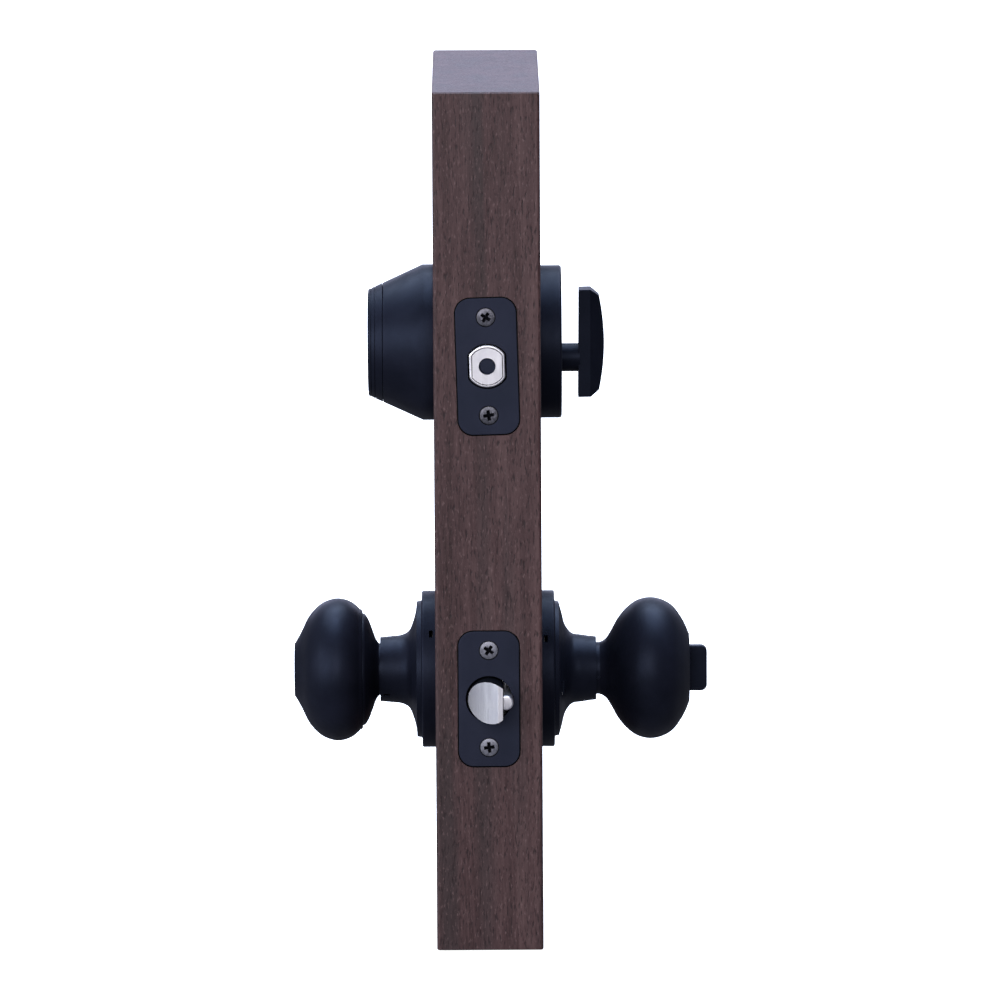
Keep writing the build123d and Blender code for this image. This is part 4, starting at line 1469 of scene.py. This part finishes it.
@dataclass
class ThumbKnob:
    """Tulip knob with a turn button in its face."""

    bearing: float = 11.0
    bore: float = 8.0
    front: float = 62.6
    pocket: float = 10.1
    skin: tuple[Point, ...] = (
        (11.0, 24.5), (12.3, 27.0), (15.4, 29.2), (20.9, 32.3), (25.4, 36.0), (28.6, 40.4), (29.9, 46.1),
        (28.9, 51.2), (26.6, 55.2), (22.0, 58.9), (15.2, 62.2))
    lining: tuple[Point, ...] = (
        (14.4, 60.2), (21.0, 57.0), (26.0, 52.0), (27.4, 47.0), (27.0, 43.0), (24.0, 38.4), (19.0, 34.6),
        (13.6, 31.6))

    def knob(self) -> Mesh:
        """Hollow knob and shank in one turned shell.

        Returns:
            The knob in its own millimetres.
        """
        skin = smooth_run(list(self.skin), 9)
        face = [(14.7, 62.47), (14.1, self.front), (self.pocket + 0.25, self.front),
                (self.pocket, self.front - 0.2), (self.pocket, self.front - 1.2), (5.08, self.front - 1.2),
                (5.08, 60.2)]
        outline = [(self.bore, 2), (self.bearing, 2), *skin, *face, *smooth_run(list(self.lining), 5),
                   (self.bore, 28.5)]
        knob = lathe(outline, 176)
        catch_hole = shift(turn(rod(0.9, 0, 8, steps=40), 90, "Y"), (-14, -2, 24.0))
        return carve(knob, catch_hole)

    def button(self) -> Mesh:
        """Turn button: a flat round base, a thin grip with rounded corners and the stub behind.

        Returns:
            The button in its own millimetres.
        """
        top, face = 70.1, self.front
        stub = [(0, 56.5), (5.0, 56.5), (5.0, 58.4), (4.2, 58.4), (4.2, 59.4), (5.0, 59.4),
                (5.0, face - 1.1)]
        rim = [(9.9, face - 1.1), (9.9, face - 0.05), (9.65, face + 0.2), (0, face + 0.2)]
        base = lathe([*stub, *rim], 128)
        grip = rounded_rectangle(19.4, 12.5, 2.7, -2.3, 2.3, 12)
        ease(grip, 0.7, segments=4, where=lambda e: all(abs(v.co.z) > 2.2 for v in e.verts))
        turn(turn(grip, 90, "Z"), 90, "Y")
        shift(grip, (0, 0, top - 6.25))
        trim = box((-5, -15, face), (5, 15, top + 1))
        grip = carve(grip, trim, how=Work.CROSS)
        socket = box((-0.95, -2.05, 50), (0.95, 2.05, face - 2))
        return carve(carve(base, grip, how=Work.ADD), socket)

    def build(self, bench: Bench) -> None:
        """Make the knob and its button.

        Args:
            bench: where the pieces are placed and dressed.
        """
        axes = bench.site.axes(Side.THUMB, bench.site.knob_z)
        bench.put("thumb_knob_piece", self.knob(), axes, "thumb_knob", "black_finish", ("inner_knob",))
        bench.put("lock_button_piece", self.button(), axes, "lock_button", "black_finish",
                  ("turn_button",))


@dataclass
class LatchEdge:
    """Faceplate, bevelled latch bolt and deadlocking plunger in the door's edge."""

    radius: float = 8.7
    flat: float = 5.75
    throw: float = 12.7
    plunger: float = 3.1
    plunger_x: float = 6.98
    plunger_out: float = 9.5
    tip: float = 2.0
    tail: float = 22.0
    opening_gap: float = 1.0

    def bolt(self) -> Mesh:
        """Latch bolt: a round bar with one flat and a hollow-ground bevel up to a narrow tip.

        Returns:
            The bolt in its own millimetres.
        """
        bolt = one_flat_bar(self.radius, -self.tail, self.throw, self.flat)
        land = self.flat - self.tip
        sweep = arc_run((-self.radius, 0.4), (-2.4, 7.3), (land, self.throw), 24)
        ramp = [*sweep, (land, 20), (-12, 20), (-12, 0.4)]
        bolt = carve(bolt, prism(ramp, -12, 12, Plane.XZ), rod(4.2, -23, -12))
        ease(bolt, 0.28, sharper_than=30, where=lambda e: min(v.co.z for v in e.verts) > 0.5)
        # the bolt's round side is painted near-black as the shade above the latch
        bolt.normal_update()
        for face in bolt.faces:
            spot = face.calc_center_median()
            if abs(face.normal.z) < 0.05 and math.hypot(spot.x, spot.y) > self.radius - 0.12:
                face.material_index = SHADE_INDEX
        return bolt

    def half_plunger(self) -> Mesh:
        """Half-round plunger with a domed end.

        Returns:
            The plunger in its own millimetres.
        """
        r, out = self.plunger, self.plunger_out
        nose = arc_run((r, out - 0.7), (r - 0.2, out - 0.2), (r - 0.7, out), 6)
        bar = lathe([(0, -self.tail), (r, -self.tail), *nose, (0, out)], 72, (self.plunger_x, 0))
        return carve(bar, box((self.flat + 0.3, -5, -30), (12, 5, 20)), how=Work.CROSS)

    def build(self, bench: Bench) -> None:
        """Make the plate, latch bolt and plunger.

        Args:
            bench: where the pieces are placed and dressed.
        """
        axes = bench.site.axes(Side.EDGE, bench.site.knob_z)
        openings = [rod(self.radius + self.opening_gap, -5, 5, steps=128)]
        openings.append(rod(self.plunger + 0.3, -5, 5, (self.plunger_x, 0)))
        Faceplate("latch").build(bench, axes, openings, "steel_screw")
        slots = node_slots()
        bench.put("latch_bolt_piece", self.bolt(), axes, "latch", slots["latch_bolt"], ("latch_bolt",),
                  finish="latch_nickel", shade_finish="painted_recess_shade")
        bench.put("plunger_piece", self.half_plunger(), axes, "plunger", slots["deadlock_plunger"],
                  ("deadlock_plunger",))


@dataclass
class Coil:
    """Compression spring of round wire, wound along the lock's axis."""

    name: str
    node: str
    joint: str
    mean_radius: float
    wire: float
    low: float
    high: float
    turns: int
    stroke: float
    centre_x: float = 0.0

    @classmethod
    def latch(cls) -> "Coil":
        """The spring behind the latch bolt."""
        return cls("latch_coil", "latch_spring", "latch_retract", mean_radius=3.3, wire=1.0, low=-39.95,
                   high=-12.1, turns=10, stroke=12.7)

    @classmethod
    def plunger(cls) -> "Coil":
        """The spring behind the deadlocking plunger."""
        return cls("plunger_coil", "plunger_spring", "plunger_press", mean_radius=1.5, wire=0.6, low=-32.95,
                   high=-22.15, turns=8, stroke=6.0, centre_x=7.6)

    def wound(self, steps: int = 28, sides: int = 8) -> Mesh:
        """Wire wound from the low end to the high end.

        Args:
            steps: lengths of wire in a turn.
            sides: faces round the wire.

        Returns:
            The closed wire.
        """
        bm = bmesh.new()
        half = self.wire / 2
        lengths = self.turns * steps
        rise = (self.high - self.low - self.wire) / lengths
        start = Matrix.Translation((self.centre_x + self.mean_radius, 0, self.low + half))
        bmesh.ops.create_circle(bm, cap_ends=False, radius=half, segments=sides,
                                matrix=start @ Matrix.Rotation(math.pi / 2, 4, "X"))
        bmesh.ops.spin(bm, geom=bm.verts[:] + bm.edges[:], cent=(self.centre_x, 0, 0), axis=(0, 0, 1),
                       dvec=(0, 0, rise), angle=math.tau * self.turns, steps=lengths, use_merge=False,
                       use_duplicate=False)
        ends = [e for e in bm.edges if e.is_boundary]
        bmesh.ops.holes_fill(bm, edges=ends, sides=sides)
        return bm

    def build(self, bench: Bench) -> None:
        """Wind the spring and place it on its body.

        Args:
            bench: where the pieces are placed and dressed.
        """
        axes = bench.site.axes(Side.EDGE, bench.site.knob_z)
        body = body_of(frame["nodes"][self.node])[0]
        piece = bench.put(self.name, self.wound(), axes, body, node_slots()[self.node], (self.node,),
                          smooth_under=80)
        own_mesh(piece)


# ------------------------------------------------------------------ studio


@dataclass(frozen=True)
class Panel:
    """Soft light panel: where it is, what it looks at, its size, strength and colour."""

    name: str
    place: Triple
    target: Triple
    size: tuple[float, float]
    power: float
    colour: Triple

    def build(self) -> None:
        """Hang the panel."""
        lamp = bpy.data.lights.new(self.name, "AREA")
        lamp.shape = "RECTANGLE"
        lamp.size, lamp.size_y = self.size
        lamp.energy = self.power
        lamp.color = self.colour
        lamp_object = bpy.data.objects.new(self.name, lamp)
        bpy.context.scene.collection.objects.link(lamp_object)
        aim = Vector(self.target) - Vector(self.place)
        lamp_object.rotation_euler = aim.to_track_quat("-Z", "Y").to_euler()
        lamp_object.location = self.place
        lamp_object.visible_camera = False
        LOG.info("light %s: %.0f W", self.name, self.power)


@dataclass
class Studio:
    """Pale floor, soft panels and the camera."""

    eye: Triple = (-0.00339, -3.7825, 0.80415)
    pitch: float = 0.16410
    yaw: float = 0.002268
    roll: float = -0.005414
    lens: float = 326.7
    ambient: Triple = (0.165, 0.170, 0.205)
    panels: tuple[Panel, ...] = (
        Panel("overhead", (0.0, 0.65, 2.3), (0.0, 0.1, 0.2), (2.4, 2.4), 126.0, (0.64, 0.77, 1.0)),
        Panel("front", (-0.6, -4.6, 1.6), (0.0, 0.0, 0.2), (3.4, 2.6), 120.0, (1.0, 0.96, 0.98)),
        Panel("left", (-2.7, -1.7, 0.9), (0.0, -0.1, 0.25), (3.0, 1.6), 82.0, (0.86, 0.90, 1.0)),
        Panel("rear", (0.0, 3.2, 0.95), (0.0, 0.0, 0.3), (3.2, 1.2), 22.0, (0.68, 0.72, 1.0)),
    )

    def floor(self) -> None:
        """Pale seamless floor that lights nothing."""
        bm = bmesh.new()
        bmesh.ops.create_grid(bm, x_segments=8, y_segments=8, size=9.0)
        bmesh.ops.translate(bm, vec=(0, 0, -0.0005), verts=bm.verts)
        data = bpy.data.meshes.new("studio_floor")
        bm.to_mesh(data)
        bm.free()
        g = Graph("studio_floor_paper")
        paper = g.noise(g.place((40, 40, 40)), detail=3)
        tone = g.ramp(paper, [(0.3, (0.92, 0.92, 0.92)), (0.7, (0.95, 0.95, 0.95))])
        g.link(tone, g.shader.inputs["Base Color"])
        g.shader.inputs["Roughness"].default_value = 0.9
        g.shader.inputs["Emission Color"].default_value = (1, 1, 1, 1)
        g.shader.inputs["Emission Strength"].default_value = 0.95
        data.materials.append(g.material)
        floor = bpy.data.objects.new("studio_floor", data)
        bpy.context.scene.collection.objects.link(floor)
        floor.visible_diffuse = False
        floor.visible_glossy = False

    def air(self) -> None:
        """Even, dim light from all round."""
        world = bpy.data.worlds.new("studio_air")
        bpy.context.scene.world = world
        world.use_nodes = True
        background = world.node_tree.nodes["Background"]
        background.inputs["Color"].default_value = (*self.ambient, 1.0)
        background.inputs["Strength"].default_value = 1.0

    def camera(self) -> None:
        """Long lens from the door's edge, looking a little down."""
        cp, sp = math.cos(self.pitch), math.sin(self.pitch)
        forward = Vector((math.sin(self.yaw) * cp, math.cos(self.yaw) * cp, -sp))
        right = Vector((math.cos(self.yaw), -math.sin(self.yaw), 0.0))
        up = right.cross(forward)
        cr, sr = math.cos(self.roll), math.sin(self.roll)
        across = cr * right + sr * up
        above = cr * up - sr * right
        data = bpy.data.cameras.new("row_camera")
        data.lens = self.lens
        data.sensor_width = 36.0
        data.clip_end = 60.0
        camera = bpy.data.objects.new("row_camera", data)
        bpy.context.scene.collection.objects.link(camera)
        turned = Matrix((across, above, -forward)).transposed().to_4x4()
        camera.matrix_world = Matrix.Translation(self.eye) @ turned
        bpy.context.scene.camera = camera

    def build(self) -> None:
        """Set the stage."""
        bpy.context.scene.view_settings.view_transform = "Standard"
        self.floor()
        self.air()
        self.camera()
        for panel in self.panels:
            panel.build()


# ------------------------------------------------------------------ everything


def main() -> None:
    """Build the stage, the locks and their finishes."""
    bench = Bench(Site.from_frame(), Finishes())
    Studio().build()
    DeadboltKeyedSide().build(bench)
    DeadboltThumbSide().build(bench)
    DeadboltEdge().build(bench)
    KnobRose.keyed().build(bench)
    KnobRose.thumb().build(bench)
    KeyedKnob().build(bench)
    ThumbKnob().build(bench)
    LatchEdge().build(bench)
    Coil.latch().build(bench)
    Coil.plunger().build(bench)
    bench.dress_rest()
    LOG.info("made %d pieces", len(bench.made))


if __name__ == "__main__":
    main()
